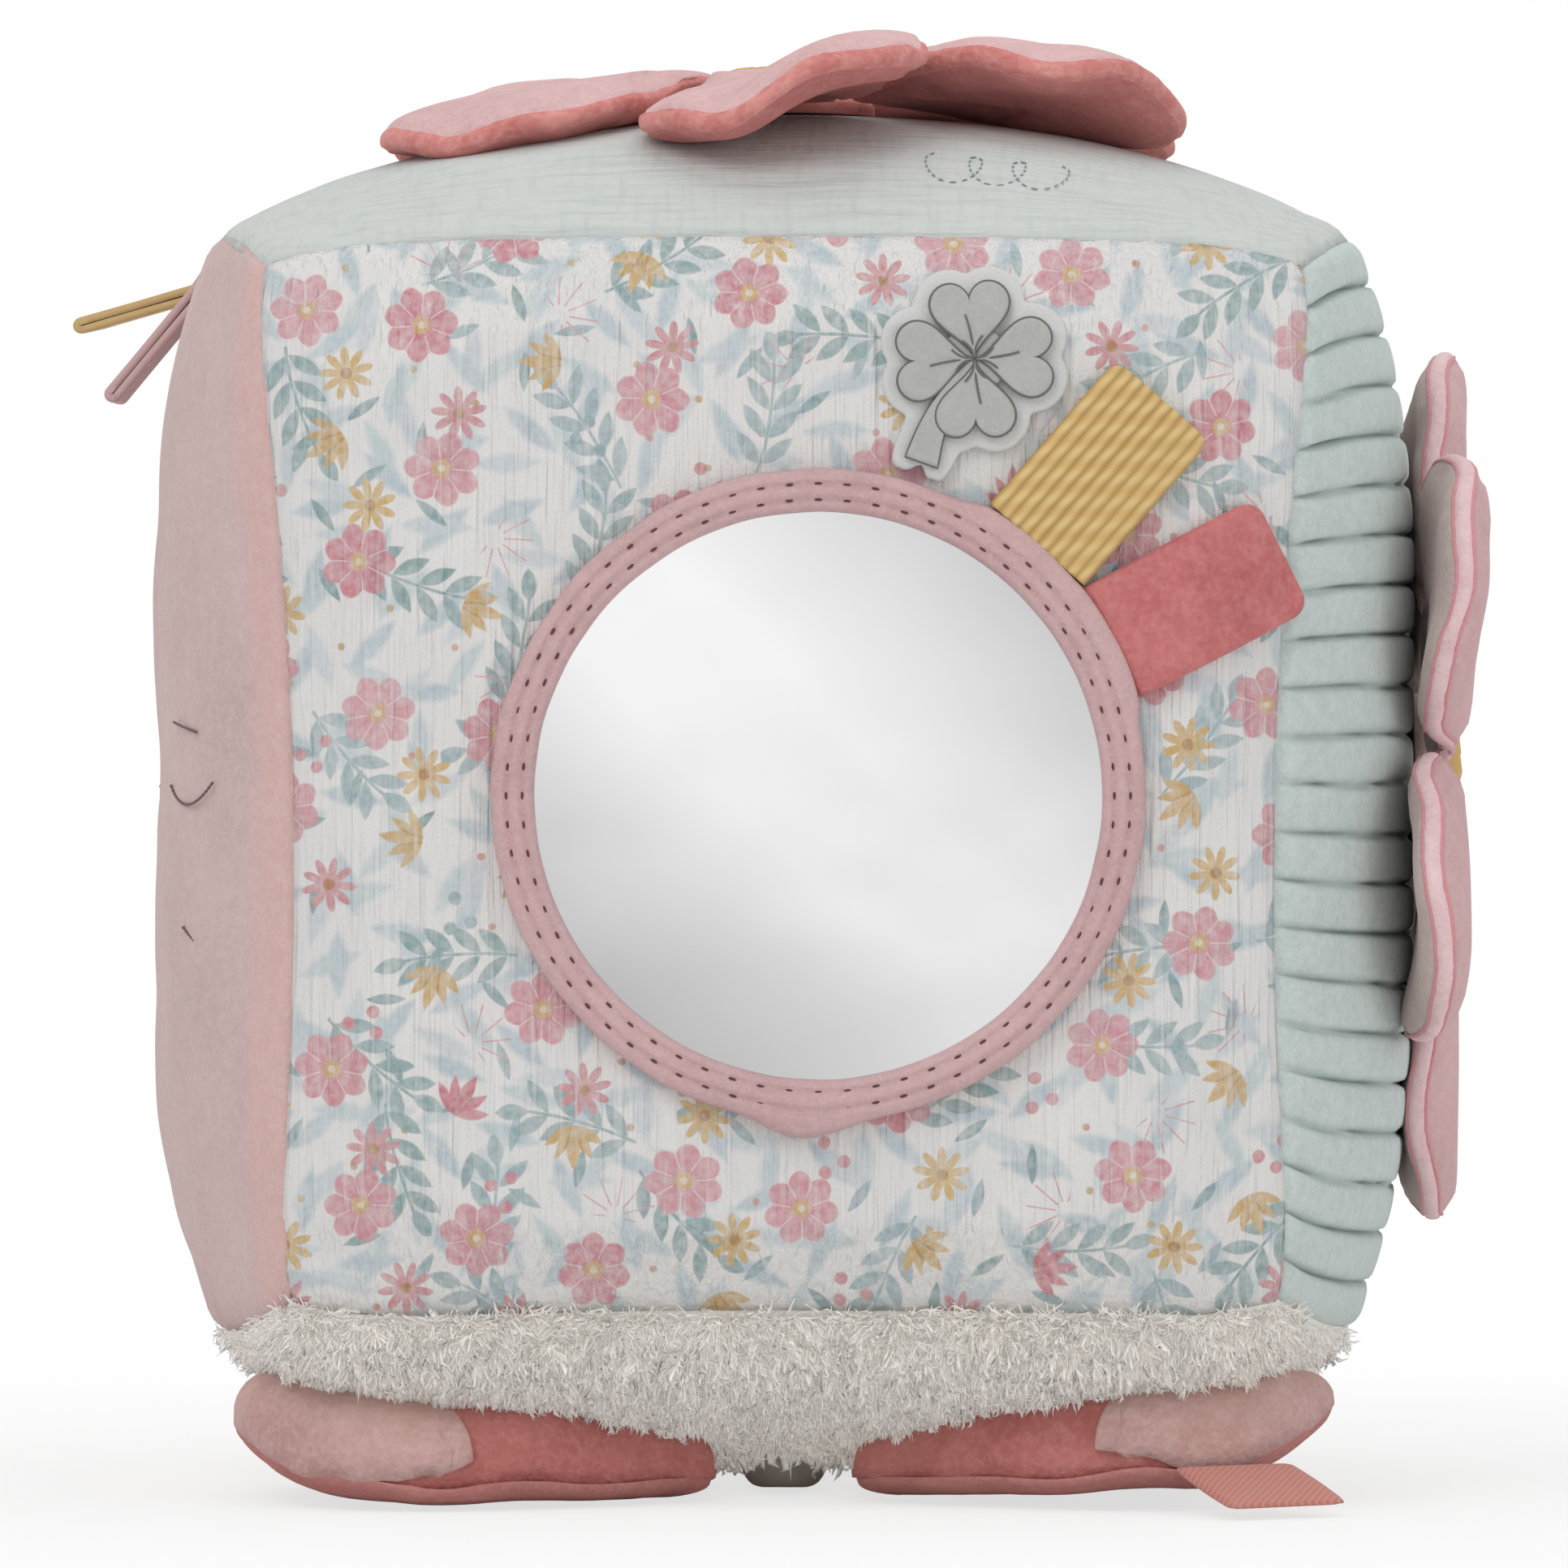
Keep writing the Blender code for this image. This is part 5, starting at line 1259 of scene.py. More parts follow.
def make_clover():
    """A grey four-leaf clover with stitched outlines and veins, on a white die-cut backing."""
    seat = rim_seat(CLOVER_DEGREES, 0.0016)
    middle = np.array((0.0168, 0.0))
    upright = math.radians(90.0 - CLOVER_DEGREES)
    hearts = [heart_leaf(upright + math.radians(turn), middle, 0.0108) for turn in (5.0, 92.0, 181.0, -88.0)]
    grey = ["grey_felt"], "clover_tag", seat.world, "grey_velour"
    s = np.linspace(0.0, 1.0, 21)
    line = np.stack((middle[0] - 0.0158 * s, 0.0021 * s + 0.0010 * np.sin(math.pi * s)), -1)
    wide = 0.0004 + 0.0019 * s ** 0.8
    stem = np.concatenate((line + np.stack((0.0 * s, wide), -1), (line - np.stack((0.0 * s, wide), -1))[::-1]))

    def raised(out):
        return lambda x, y: out - front_sag(seat, x, y)

    def laid(x, y, out):
        return seat.world(x, y, raised(out)(x, y))

    backing = ring_around(middle, hearts + [stem], 0.0019, 200)
    backing[:, 0] = np.maximum(backing[:, 0], -0.0006)
    cushion("clover_felt", backing, 0.0008, 0.0008, ["white_felt"], "clover_tag", seat.world, "white_felt",
            ["clover_backing"], level=raised(0.0), edge=0.0006, bulge=0.00015, rounding=0.0008, middle=middle,
            fill=0.1)
    lines, veins = [], []
    dot = np.linspace(0.0, math.tau, 32, endpoint=False)
    disc = middle + 0.0046 * np.stack((np.cos(dot), np.sin(dot)), -1)
    cushion("clover_heart", disc, 0.0005, 0.0003, *grey, level=raised(0.0012), edge=0.0003, rounding=0.0012,
            middle=middle, fill=0.4)
    for leaf, heart in enumerate(hearts):
        mean = heart.mean(0)
        cushion(f"clover_leaf_{leaf + 1}", heart, 0.0011, 0.0004, *grey, ["clover_leaf"] if leaf == 0 else [],
                level=raised(0.0012), edge=0.0003, bulge=0.0001, rounding=0.0016, middle=mean,
                pucker=0.00003, seed=leaf + 3.0, fill=0.4)
        edge = heart + (mean - heart) * 0.02
        lines.append((laid(*edge.T, 0.0019), True))
        way = math.atan2(*(mean - middle)[::-1])
        for spread, reach in ((0.12, 0.0062), (0.55, 0.0030), (-0.42, 0.0034)):
            run = np.linspace(0.05, 1.0, 10)
            ray = way + spread * run
            vx, vy = middle[0] + np.cos(ray) * reach * run, middle[1] + np.sin(ray) * reach * run
            veins.append((laid(vx, vy, 0.0013 + 0.00105 * np.sqrt(np.clip(run * 2.2, 0.0, 1.0))), False))
    cushion("clover_stem", stem, 0.0009, 0.0003, *grey, level=raised(0.0011), edge=0.0003, bulge=0.00005,
            rounding=0.0008, middle=line[12], fill=0.3)
    lines.append((laid(*stem[4:].T, 0.0015), False))
    threaded("clover_outline", lines, 0.00021, "grey_thread", "clover_tag", 5)
    threaded("clover_veins", veins, 0.00017, "grey_thread", "clover_tag", 5)


TAPE_WIDTH = 0.0165
TAPE_THICKNESS = 0.00125
LOOP_THICKNESS = 0.0033
LOOP_GAP = 0.00066


def make_loops():
    """Two folded ribbons in the upper left seam, seen edge on from the front."""
    for name, title, depth, length, degrees, turned, finish, slot in (
        ("mustard_loop", "mustard_fold", 0.058, 0.0285, -13.0, 1.0, "mustard_tape", "mustard_ribbon"),
        ("pink_loop", "pink_fold", 0.036, 0.0285, -50.0, 0.8, "pink_tape", "dusty_velour"),
    ):
        reach = float(reach_y(-1.0, 1.0, np.array(False)))
        half_width = TAPE_WIDTH / 2.0
        seam = Vector(skin(-1.0, depth / reach, 1.0))
        ends = [Vector(skin(-1.0, (depth + side * half_width) / reach, 1.0)) for side in (-1.0, 1.0)]
        ahead = (ends[0] - ends[1]).normalized()
        corner = (UP - RIGHT).normalized()
        place = seam + corner * (LOOP_THICKNESS / 2.0 + 0.0002)
        angle = math.radians(degrees)
        bare = -RIGHT * math.cos(angle) + UP * math.sin(angle)
        outward = (bare - ahead * bare.dot(ahead)).normalized()
        seat = Seat(place, outward, outward.cross(ahead))
        gap = LOOP_GAP
        run = np.linspace(-0.0013, length - gap, 22)
        open_by = np.minimum(1.0, 0.35 + 0.65 * run / 0.006) * gap
        bend = np.linspace(0.3, math.pi - 0.3, 7)
        path = np.concatenate((
            np.stack((run, open_by * (1.0 + 0.05 * np.sin(run * 220.0))), -1),
            np.stack((length - gap + gap * np.sin(bend), gap * np.cos(bend)), -1),
            np.stack((run, -open_by * (1.0 + 0.05 * np.sin(run * 180.0 + 1.0))), -1)[::-1],
        ))
        level_ahead = -(FRONT - UP * 0.05).normalized()
        level_ahead = (level_ahead - outward * level_ahead.dot(outward)).normalized()
        if level_ahead.dot(ahead) < 0.0:
            level_ahead = -level_ahead
        twist = math.atan2(ahead.cross(level_ahead).dot(outward), ahead.dot(level_ahead)) * turned
        tangent = np.gradient(path, axis=0)
        tangent /= np.linalg.norm(tangent, axis=1, keepdims=True)
        normal = np.stack((-tangent[:, 1], tangent[:, 0]), -1)
        across = np.linspace(-half_width, half_width, 19)
        sides = []
        for sign in (1.0, -1.0):
            shell = path + normal * sign * TAPE_THICKNESS / 2.0
            x, y = np.meshgrid(shell[:, 0], across, indexing="ij")
            thin = (1.0 - 0.10 * (abs(y) / half_width) ** 8)
            z = path[:, 1][:, None] + (shell[:, 1] - path[:, 1])[:, None] * thin
            share = np.clip(x / 0.009, 0.0, 1.0)
            angle = twist * share * share * (3.0 - 2.0 * share)
            sides.append(seat.world(x, y * np.cos(angle) - z * np.sin(angle), z * np.cos(angle) + y * np.sin(angle)))
        points, faces = sheet_mesh(*sides)
        run = np.cumsum(np.linalg.norm(np.diff(path, axis=0, prepend=path[:1]), axis=1))
        uv = np.stack(np.meshgrid(run, np.linspace(0.0, 1.0, 19), indexing="ij"), -1).reshape(-1, 2)
        made = piece(title, points, faces, [finish], name, [name], uv=np.concatenate((uv, uv)))
        outward_faces(made)


# ---------------------------------------------------------------- flowers

PETAL_LENGTH = 0.0463
PETAL_HALF_WIDTH = 0.0202
PETAL_ROOT_HALF_WIDTH = 0.0075
PETAL_THICKNESS = 0.0058
PETAL_HINGE_RADIUS = 0.01715
PETAL_MIDDLE = 0.024
# The rows of a petal's mesh where its band meets the face and the lining
PETAL_SEAM_ROWS = (13, 19)
BUTTON_RISE = 0.0046
BUTTON_CROWN = ((0.0006, 0.72), (0.0016, 0.82), (0.003, 0.94), (0.005, 1.0), (0.0073, 0.94), (0.0094, 0.78),
                (0.0109, 0.58), (0.0119, 0.32))


def petal_outline():
    """A petal seen flat: narrow at the root, widest at 56% of its length, with a round end."""
    shoulder = PETAL_LENGTH * 0.56
    start = -0.0015
    points = []

    def width(x):
        run = max(0.0, min(1.0, x / shoulder))
        return PETAL_ROOT_HALF_WIDTH + (PETAL_HALF_WIDTH - PETAL_ROOT_HALF_WIDTH) * math.sin(math.pi / 2.0 * run)

    for bearing in np.linspace(-math.pi / 2.0, math.pi / 2.0, 45):
        x = shoulder + (PETAL_LENGTH - shoulder) * math.cos(bearing)
        points.append((x, width(x) * math.sin(bearing)))
    down = [shoulder + (start - shoulder) * share for share in np.linspace(0.0, 1.0, 16)[1:]]
    points += [(x, width(x)) for x in down]
    points += [(start, PETAL_ROOT_HALF_WIDTH * (1.0 - 2.0 * share)) for share in np.linspace(0.0, 1.0, 7)[1:-1]]
    return points + [(x, -width(x)) for x in reversed(down)]


def make_flower(name, centre, away, first, turn, shares, finishes, piping, curl, wavy):
    """A round base with a stuffed button, and six stuffed petals with a sewn band round their edge."""
    low, high = GAP, 0.0027
    profile = [(0.002, high), (0.0110, high), (0.0118, high - 0.0003), (0.0125, high - 0.0001),
               (0.0132, high - 0.0009), (0.0132, low + 0.0004), (0.0128, low), (0.002, low)]
    revolved(name + "_patch", profile, 64, centre, away, [finishes[2]], BLOCK, [name + "_base"])
    seat = high + GAP

    def dimple(radius, height, angle):
        ripple = 0.5 + 0.5 * np.cos(angle * 8.0)
        rise = np.clip((height - seat) / BUTTON_RISE, 0.0, 1.0)
        return radius, height - 0.0004 * ripple * rise * np.exp(-((radius - 0.0045) / 0.004) ** 2)

    dome = [(radius, seat + BUTTON_RISE * share) for radius, share in BUTTON_CROWN]
    dome += [(0.0122, seat + 0.0007), (0.0117, seat + 0.0001), (0.004, seat + 0.0001)]
    revolved(name + "_centre", dome, 64, centre, away, ["button"], BLOCK, [name + "_button"],
             warp=dimple)
    outline = petal_outline()
    chance = (0.4, 3.0) if name[0] == "t" else (2.9, 11.0)
    level = GAP + 0.0005 + PETAL_THICKNESS / 2.0
    for petal, (rise, lean) in enumerate(shares):
        angle = math.radians(turn + 60.0 * petal)
        outward = (Matrix.Rotation(angle, 3, away) @ first).normalized()
        body = f"{name}_petal_{petal + 1}"
        frame_seat = Seat(centre + outward * PETAL_HINGE_RADIUS + away * level, outward, away)

        def bend(x, y, rise=rise, lean=lean, seed=petal * 1.7 + chance[0]):
            run = np.maximum(0.0, x) / PETAL_LENGTH
            aside = y / PETAL_HALF_WIDTH
            swung = np.tanh(aside * 2.3) / 1.02 if abs(lean) > 0.15 else aside
            bowed = -curl * abs(aside) ** 2.2 * np.minimum(1.0, 1.6 * run)
            bearing = np.arctan2(y, x - PETAL_MIDDLE)
            far = np.minimum(1.0, np.hypot(x - PETAL_MIDDLE, y) / 0.02) ** 3 * np.minimum(1.0, 2.5 * run)
            wave = wavy * far * (np.sin(bearing * 4.0 + seed) + 0.6 * np.sin(bearing * 7.0 + seed * 2.3))
            raised = rise * PETAL_LENGTH * run ** 1.5
            leaning = lean * PETAL_HALF_WIDTH * swung * np.minimum(1.0, 2.0 * run)
            return raised + leaning + bowed + wave

        made = cushion(body.replace("flower_petal", "petal"), outline, 0.0027, 0.0027, finishes, body,
                       frame_seat.world, "petal_velour", [body + "_face", body + "_lining"], level=bend,
                       edge=0.0015, bulge=0.0011, rounding=0.0075, middle=(PETAL_MIDDLE, 0.0), pucker=0.0003,
                       seed=petal + chance[1], fill=0.5, blow=(0.003, 5.0, 0.05, 0.0011))
        if piping:
            across = len(outline)
            rows = PETAL_SEAM_ROWS[-1] + 1
            seams = np.array([vertex.co for vertex in made.data.vertices[:rows * across]]).reshape(rows, across, 3)
            keep = np.array(outline)[:, 0] > 0.002
            lines = [(seams[row][keep][seam_order(keep)], False) for row in PETAL_SEAM_ROWS]
            threaded(body.replace("flower_petal", "piping"), lines, 0.00034, piping, body, 6)


def seam_order(keep):
    """The kept points of a closed outline in one run, starting after the gap."""
    kept = np.where(keep)[0]
    breaks = np.where(np.diff(kept) > 1)[0]
    order = np.arange(len(kept))
    if len(breaks):
        order = np.roll(order, -(breaks[0] + 1))
    return order


def make_flowers():
    """Each petal has how far it rises and how far it leans to one side, as shares of its size."""
    top = ((-0.075, 0.25), (-0.05, -0.20), (-0.16, -0.03), (-0.10, 0.05), (-0.17, 0.04), (-0.21, -0.03))
    side = ((0.04, 0.06), (0.05, -0.03), (-0.05, 0.02), (-0.025, 0.03), (0.0, -0.05), (0.03, 0.05))
    make_flower("top_flower", TOP_CENTRE, UP, FRONT, 0.0, top, ["petal_face", "petal_rim", "petal_under"],
                None, 0.0008, 0.0006)
    make_flower("side_flower", SIDE_CENTRE, RIGHT, UP, -8.0, side, ["side_face", "side_rim", "side_under"],
                "pink_thread", 0.0036, 0.0005)


# ---------------------------------------------------------------- the butterfly underneath

ROOT_REACH = 0.0096
SEAM_LEVEL = 0.0031
RAISED_FROM = 0.056
FOREWING_TIP = 0.0785
NOSE_FROM = 0.060
NOSE_RISE = 0.0036


class Wing:
    """One wing's plan: x runs out from the body, y to the back, both in the block's frame."""

    def __init__(self, sign, split, shoulder, tip, root_middle, root_half, middle, half, lift):
        self.sign, self.split, self.shoulder, self.tip = sign, split, shoulder, tip
        self.root_middle, self.root_half = root_middle, root_half
        self.middle, self.half, self.lift = middle, half, lift

    def place(self, reach, bearing):
        share = np.clip((reach - ROOT_REACH) / (self.shoulder - ROOT_REACH), 0.0, 1.0)
        spread = np.sin(math.pi / 2.0 * share)
        middle = self.root_middle + (self.middle - self.root_middle) * spread
        half = self.root_half + (self.half - self.root_half) * spread
        return np.stack((self.sign * reach, middle + half * np.sin(bearing)), -1)

    def end(self, bearing):
        return self.shoulder + (self.tip - self.shoulder) * np.cos(bearing)

    def waves(self, x, y):
        """The slack of the seam: waves round the edge, and a root drawn up towards the belly in front."""
        reach = abs(x)
        front = np.clip((self.middle - y) / self.half, 0.0, 1.0) ** 3
        far = np.clip((reach - ROOT_REACH) / 0.02, 0.0, 1.0)
        wave = 0.0007 * (1.0 + np.sin(reach * 260.0 + self.sign * 1.3)) * far
        return front * (wave + 0.0052 * np.exp(-(((reach - ROOT_REACH) / 0.0085) ** 2)))

    def seam_height(self, x):
        reach = abs(x)
        run = np.maximum(0.0, reach - RAISED_FROM) / (FOREWING_TIP - RAISED_FROM)
        out = np.clip((reach - ROOT_REACH) / (self.tip - ROOT_REACH), 0.0, 1.0)
        return SEAM_LEVEL + 0.008 * run ** 2 + self.lift * out

    def outline(self, start, stop=None):
        """A closed outline between two reaches. Without a stop it takes in the wing's rounded end."""
        bearings = np.linspace(-math.pi / 2.0, math.pi / 2.0, 41)
        if stop is None:
            far = self.place(self.end(bearings), bearings)
            reaches = np.linspace(start, self.shoulder, 22)
        else:
            far = self.place(np.full_like(bearings, stop), bearings)
            reaches = np.linspace(start, stop, 22)
        lower = self.place(reaches, np.full_like(reaches, -math.pi / 2.0))[:-1]
        upper = self.place(reaches[::-1], np.full_like(reaches, math.pi / 2.0))[1:]
        near = self.place(np.full(21, start), bearings[::-2])[1:-1]
        return np.concatenate((lower, far, upper, near))


def wing_world(x, y, z):
    return np.stack(np.broadcast_arrays(x, y, z), -1)


RIGHT_FOREWING = (1.0, 0.043, 0.052, FOREWING_TIP, -0.026, 0.023, -0.036, 0.033, 0.003)
LEFT_FOREWING = (-1.0, *RIGHT_FOREWING[1:-1], 0.0)


def make_wing(side, sign):
    """A forewing of a lining, a root lobe and a tip lobe, and a hindwing of a lining and one pad."""
    plan = Wing(*(RIGHT_FOREWING if sign > 0.0 else LEFT_FOREWING))
    body = side + "_forewing"

    def lobe(end, outline, top, under, finish, slot, solid, **shape):
        cushion(body + end, outline, top, under, [finish], body, wing_world, slot, [body + solid], **shape)

    def nose(x):
        """How far the tip lobe's inner end has narrowed: 0 well out, 1 at the split."""
        return np.clip((NOSE_FROM - abs(x)) / (NOSE_FROM - plan.split), 0.0, 1.0) ** 1.6

    def under_belly(pad, rise=0.0, narrow=0.0):
        """A lobe's height: the pad's own, or less where the belly comes down on it."""
        def top(x, y):
            room = belly_height(x, y) - 0.0015 - level(x, y) - rise * nose(x)
            return np.maximum(0.0012, np.minimum(pad * (1.0 - narrow * nose(x)), room))
        return top

    def level(x, y):
        return plan.seam_height(x) + plan.waves(x, y)

    heart = np.array((sign * 0.046, -0.033))
    lining = heart + (plan.outline(ROOT_REACH) - heart) * 0.982
    lobe("_under", lining, 0.0002, 0.0026, "wing_lining", "petal_velour", "_lining",
         level=lambda x, y: level(x, y) - 0.0001, edge=0.0002, bulge=0.0, rounding=0.009,
         middle=(sign * 0.046, -0.033), pucker=0.00035, seed=21.0 + sign, fill=0.4)
    root = plan.outline(ROOT_REACH, stop=0.0575)
    root = heart + (root - heart) * (1.0, 0.985)
    lobe("_inner_pad", root, under_belly(0.0105), 0.0, "wing_coral", "petal_velour", "_root_lobe",
         level=lambda x, y: level(x, y) + 0.0001, edge=0.0, rounding=0.0062, middle=(sign * 0.027, -0.029),
         pucker=0.0006, seed=31.0 + sign, fill=0.6, blow=(0.014, 5.0, 0.025, 0.0008))
    tip = plan.outline(plan.split + 0.0001)
    lobe("_outer_pad", tip, under_belly(0.0125, NOSE_RISE, 0.5), 0.0, "wing_pink", "pale_pink_velour",
         "_tip_lobe", level=lambda x, y: level(x, y) + 0.0001 + NOSE_RISE * nose(x), edge=0.0, rounding=0.0078,
         middle=(sign * 0.0595, -0.036), pucker=0.0008, seed=41.0 + sign, fill=0.6,
         blow=(0.046, 5.0, 0.025, 0.0008))
    plan = Wing(sign, 0.034, 0.040, 0.062, 0.022, 0.019, 0.0275, 0.024, 0.0)
    body = side + "_hindwing"
    outline = plan.outline(ROOT_REACH)
    lobe("_under", outline, 0.0002, 0.0026, "wing_lining", "petal_velour", "_lining",
         level=lambda x, y: plan.seam_height(x) - 0.0001, edge=0.0002, rounding=0.009,
         middle=(sign * 0.036, 0.0262), pucker=0.00025, seed=51.0 + sign, fill=0.4)

    def hind_top(x, y):
        room = belly_height(x, y) - 0.0011 - plan.seam_height(x) - 0.0004
        return np.maximum(0.0012, np.minimum(0.0085, room))

    lobe("_pad", outline, hind_top, 0.0, "wing_pink", "petal_velour", "_face",
         level=lambda x, y: plan.seam_height(x) + 0.0001, edge=0.0, rounding=0.0078,
         middle=(sign * 0.036, 0.0262), pucker=0.0008, seed=61.0 + sign, fill=0.6,
         blow=(0.014, 5.0, 0.025, 0.0008))


def make_label():
    """A bare folded twill ribbon sewn to the right forewing's front edge."""
    plan = Wing(*RIGHT_FOREWING)
    bearing = math.pi * (0.125 - 0.5)
    reach = float(plan.end(bearing))
    x, y = plan.place(reach, bearing)
    slope = Vector(((plan.tip - plan.shoulder) * -math.sin(bearing), plan.half * math.cos(bearing), 0.0)).normalized()
    ahead = slope.cross(UP)
    place = Vector((float(x), float(y), float(plan.seam_height(reach)))) + ahead * (0.0007 + GAP)
    tilt = math.radians(-18.0)
    seat = Seat(place, ahead * math.cos(tilt) + UP * math.sin(tilt), UP * math.cos(tilt) - ahead * math.sin(tilt))
    s, t = lattice((0.0, 1.0), (-1.0, 1.0), 34, 20)
    along = -0.0006 + 0.0156 * s
    across = t * 0.009 * (1.0 - 0.015 * np.sin(s * 2.6))
    curl = 0.00045 * np.sin(s * 3.0) * (t * 0.6 + 0.3) + 0.0006 * s ** 2
    thick = 0.00066 * np.sqrt(np.clip(1.0 - (2.0 * s - 1.0) ** 14, 0.1, 1.0))
    thick = thick * np.sqrt(np.clip(1.0 - t ** 16, 0.3, 1.0))
    ribbon("folded_label", seat.world, along, across, curl, thick, 1.0, "twill", "sewn_label",
           "sewn_label", (along, across))


def make_body_roll():
    """The butterfly's stuffed roll: flat where the block stands, rounded up at its ends."""
    half_width, half_length, middle, level = 0.0065, 0.040, 0.006, 0.0030
    outline = []
    for angle in np.linspace(0.0, math.tau, 96, endpoint=False):
        cos = math.cos(angle)
        across = half_width * abs(cos) ** 0.75 * math.copysign(1.0, cos)
        outline.append((across, middle + half_length * math.sin(angle)))

    def ends(x, y):
        return level + 0.0011 * (abs(y - middle) / half_length) ** 6

    cushion("belly_roll", outline, 0.0027, 0.0027, ["roll"], BLOCK, wing_world, "petal_velour", ["butterfly_body"],
            level=ends, edge=0.0003, bulge=0.0, rounding=0.0046, middle=(0.0, middle), pucker=0.0001,
            seed=71.0, fill=0.7)


def make_butterfly():
    make_body_roll()
    for side, sign in (("left", -1.0), ("right", 1.0)):
        make_wing(side, sign)
    make_label()


# ---------------------------------------------------------------- the teddy belly

LOCK_TRIANGLES = 16
LOCK_CURL = 0.0056
PILE_LIMIT = 190000


def lock_shape():
    """One curled lock of wool: a thin cone of three sides, bent to a hook."""
    rings = ((0.0, 0.12, 0.0, 0.0), (0.48, 0.13, 0.14, 0.03), (0.82, 0.09, 0.42, -0.02))
    points, faces, along = [], [], []
    for height, radius, side, drift in rings:
        for corner in range(3):
            angle = math.tau * corner / 3.0
            points.append((side + radius * math.cos(angle), drift + radius * math.sin(angle), height))
            along.append(height)
    points.append((0.66, -0.10, 0.92))
    along.append(1.0)
    for ring in range(2):
        for corner in range(3):
            nxt = (corner + 1) % 3
            faces.append((ring * 3 + corner, ring * 3 + nxt, ring * 3 + 3 + nxt, ring * 3 + 3 + corner))
    for corner in range(3):
        faces.append((6 + corner, 6 + (corner + 1) % 3, 9))
    faces.append((2, 1, 0))
    mesh = bpy.data.meshes.new("lock")
    mesh.from_pydata(points, [], faces)
    mesh.attributes.new("along", "FLOAT", "POINT").data.foreach_set("value", along)
    mesh.materials.append(FINISHES["pile"])
    return linked("lock", mesh)


def pile_tree():
    """Curled locks over a ground mesh. Its attributes give the locks' length and the way they lie."""
    tree, nodes, given = new_tree("teddy_locks", Density="Float", Seed="Int", Curl="Float", Fullness="Float",
                                  Lock="Object", Wool="Material")
    spread = nodes.add("GeometryNodeDistributePointsOnFaces", {"distribute_method": "RANDOM"},
                       {"Mesh": given, "Density": given["Density"], "Seed": given["Seed"]})
    reach = nodes.named("pile_length")
    lie = nodes.named("pile_way", "FLOAT_VECTOR")
    shape = nodes.add("GeometryNodeObjectInfo", None, {"Object": given["Lock"]}, "Geometry")
    toss = nodes.add("FunctionNodeRandomValue", {"data_type": "FLOAT_VECTOR"},
                     {0: (-0.8, -0.8, -0.8), 1: (0.8, 0.8, 0.8), "Seed": given["Seed"]})
    where = nodes.add("GeometryNodeInputPosition")
    tuft = nodes.add("ShaderNodeTexNoise", None, {"Vector": where, "Scale": 165.0, "Detail": 2.0}, "Color")
    lean = nodes.vector_math("MULTIPLY_ADD", {0: tuft, 1: (3.6, 3.6, 3.6), 2: (-1.8, -1.8, -1.8)})
    aim = nodes.vector_math("ADD", {0: lie, 1: toss})
    aim = nodes.vector_math("ADD", {0: aim, 1: lean})
    turn = nodes.add("FunctionNodeAlignRotationToVector", {"axis": "Z"}, {"Vector": aim})
    roll = nodes.add("FunctionNodeRandomValue", {"data_type": "FLOAT"}, {2: 0.0, 3: math.tau, "Seed": 5}, 1)
    spin = nodes.add("FunctionNodeRotateRotation", {"rotation_space": "LOCAL"},
                     {0: turn, 1: nodes.vector(0.0, 0.0, roll)})
    vary = nodes.add("FunctionNodeRandomValue", {"data_type": "FLOAT"}, {2: 0.7, 3: 1.2, "Seed": 9}, 1)
    size = reach * vary
    wide = size * given["Fullness"]
    placed = nodes.add("GeometryNodeInstanceOnPoints", None,
                       {"Points": spread, "Instance": shape, "Rotation": spin, "Scale": nodes.vector(wide, wide, size)})
    real = nodes.add("GeometryNodeRealizeInstances", None, {"Geometry": placed})
    along = nodes.named("along")
    drift = nodes.add("ShaderNodeTexNoise", None, {"Vector": where, "Scale": 430.0, "Detail": 1.0}, "Color")
    centred = nodes.vector_math("SUBTRACT", {0: drift, 1: (0.5, 0.5, 0.5)})
    shift = nodes.vector_math("SCALE", {0: centred, "Scale": along * given["Curl"]})
    bent = nodes.add("GeometryNodeSetPosition", None, {"Geometry": real, "Offset": shift})
    smooth = nodes.add("GeometryNodeSetShadeSmooth", None, {"Geometry": bent})
    close_tree(nodes, nodes.add("GeometryNodeSetMaterial", None, {"Geometry": smooth, "Material": given["Wool"]}))
    return tree


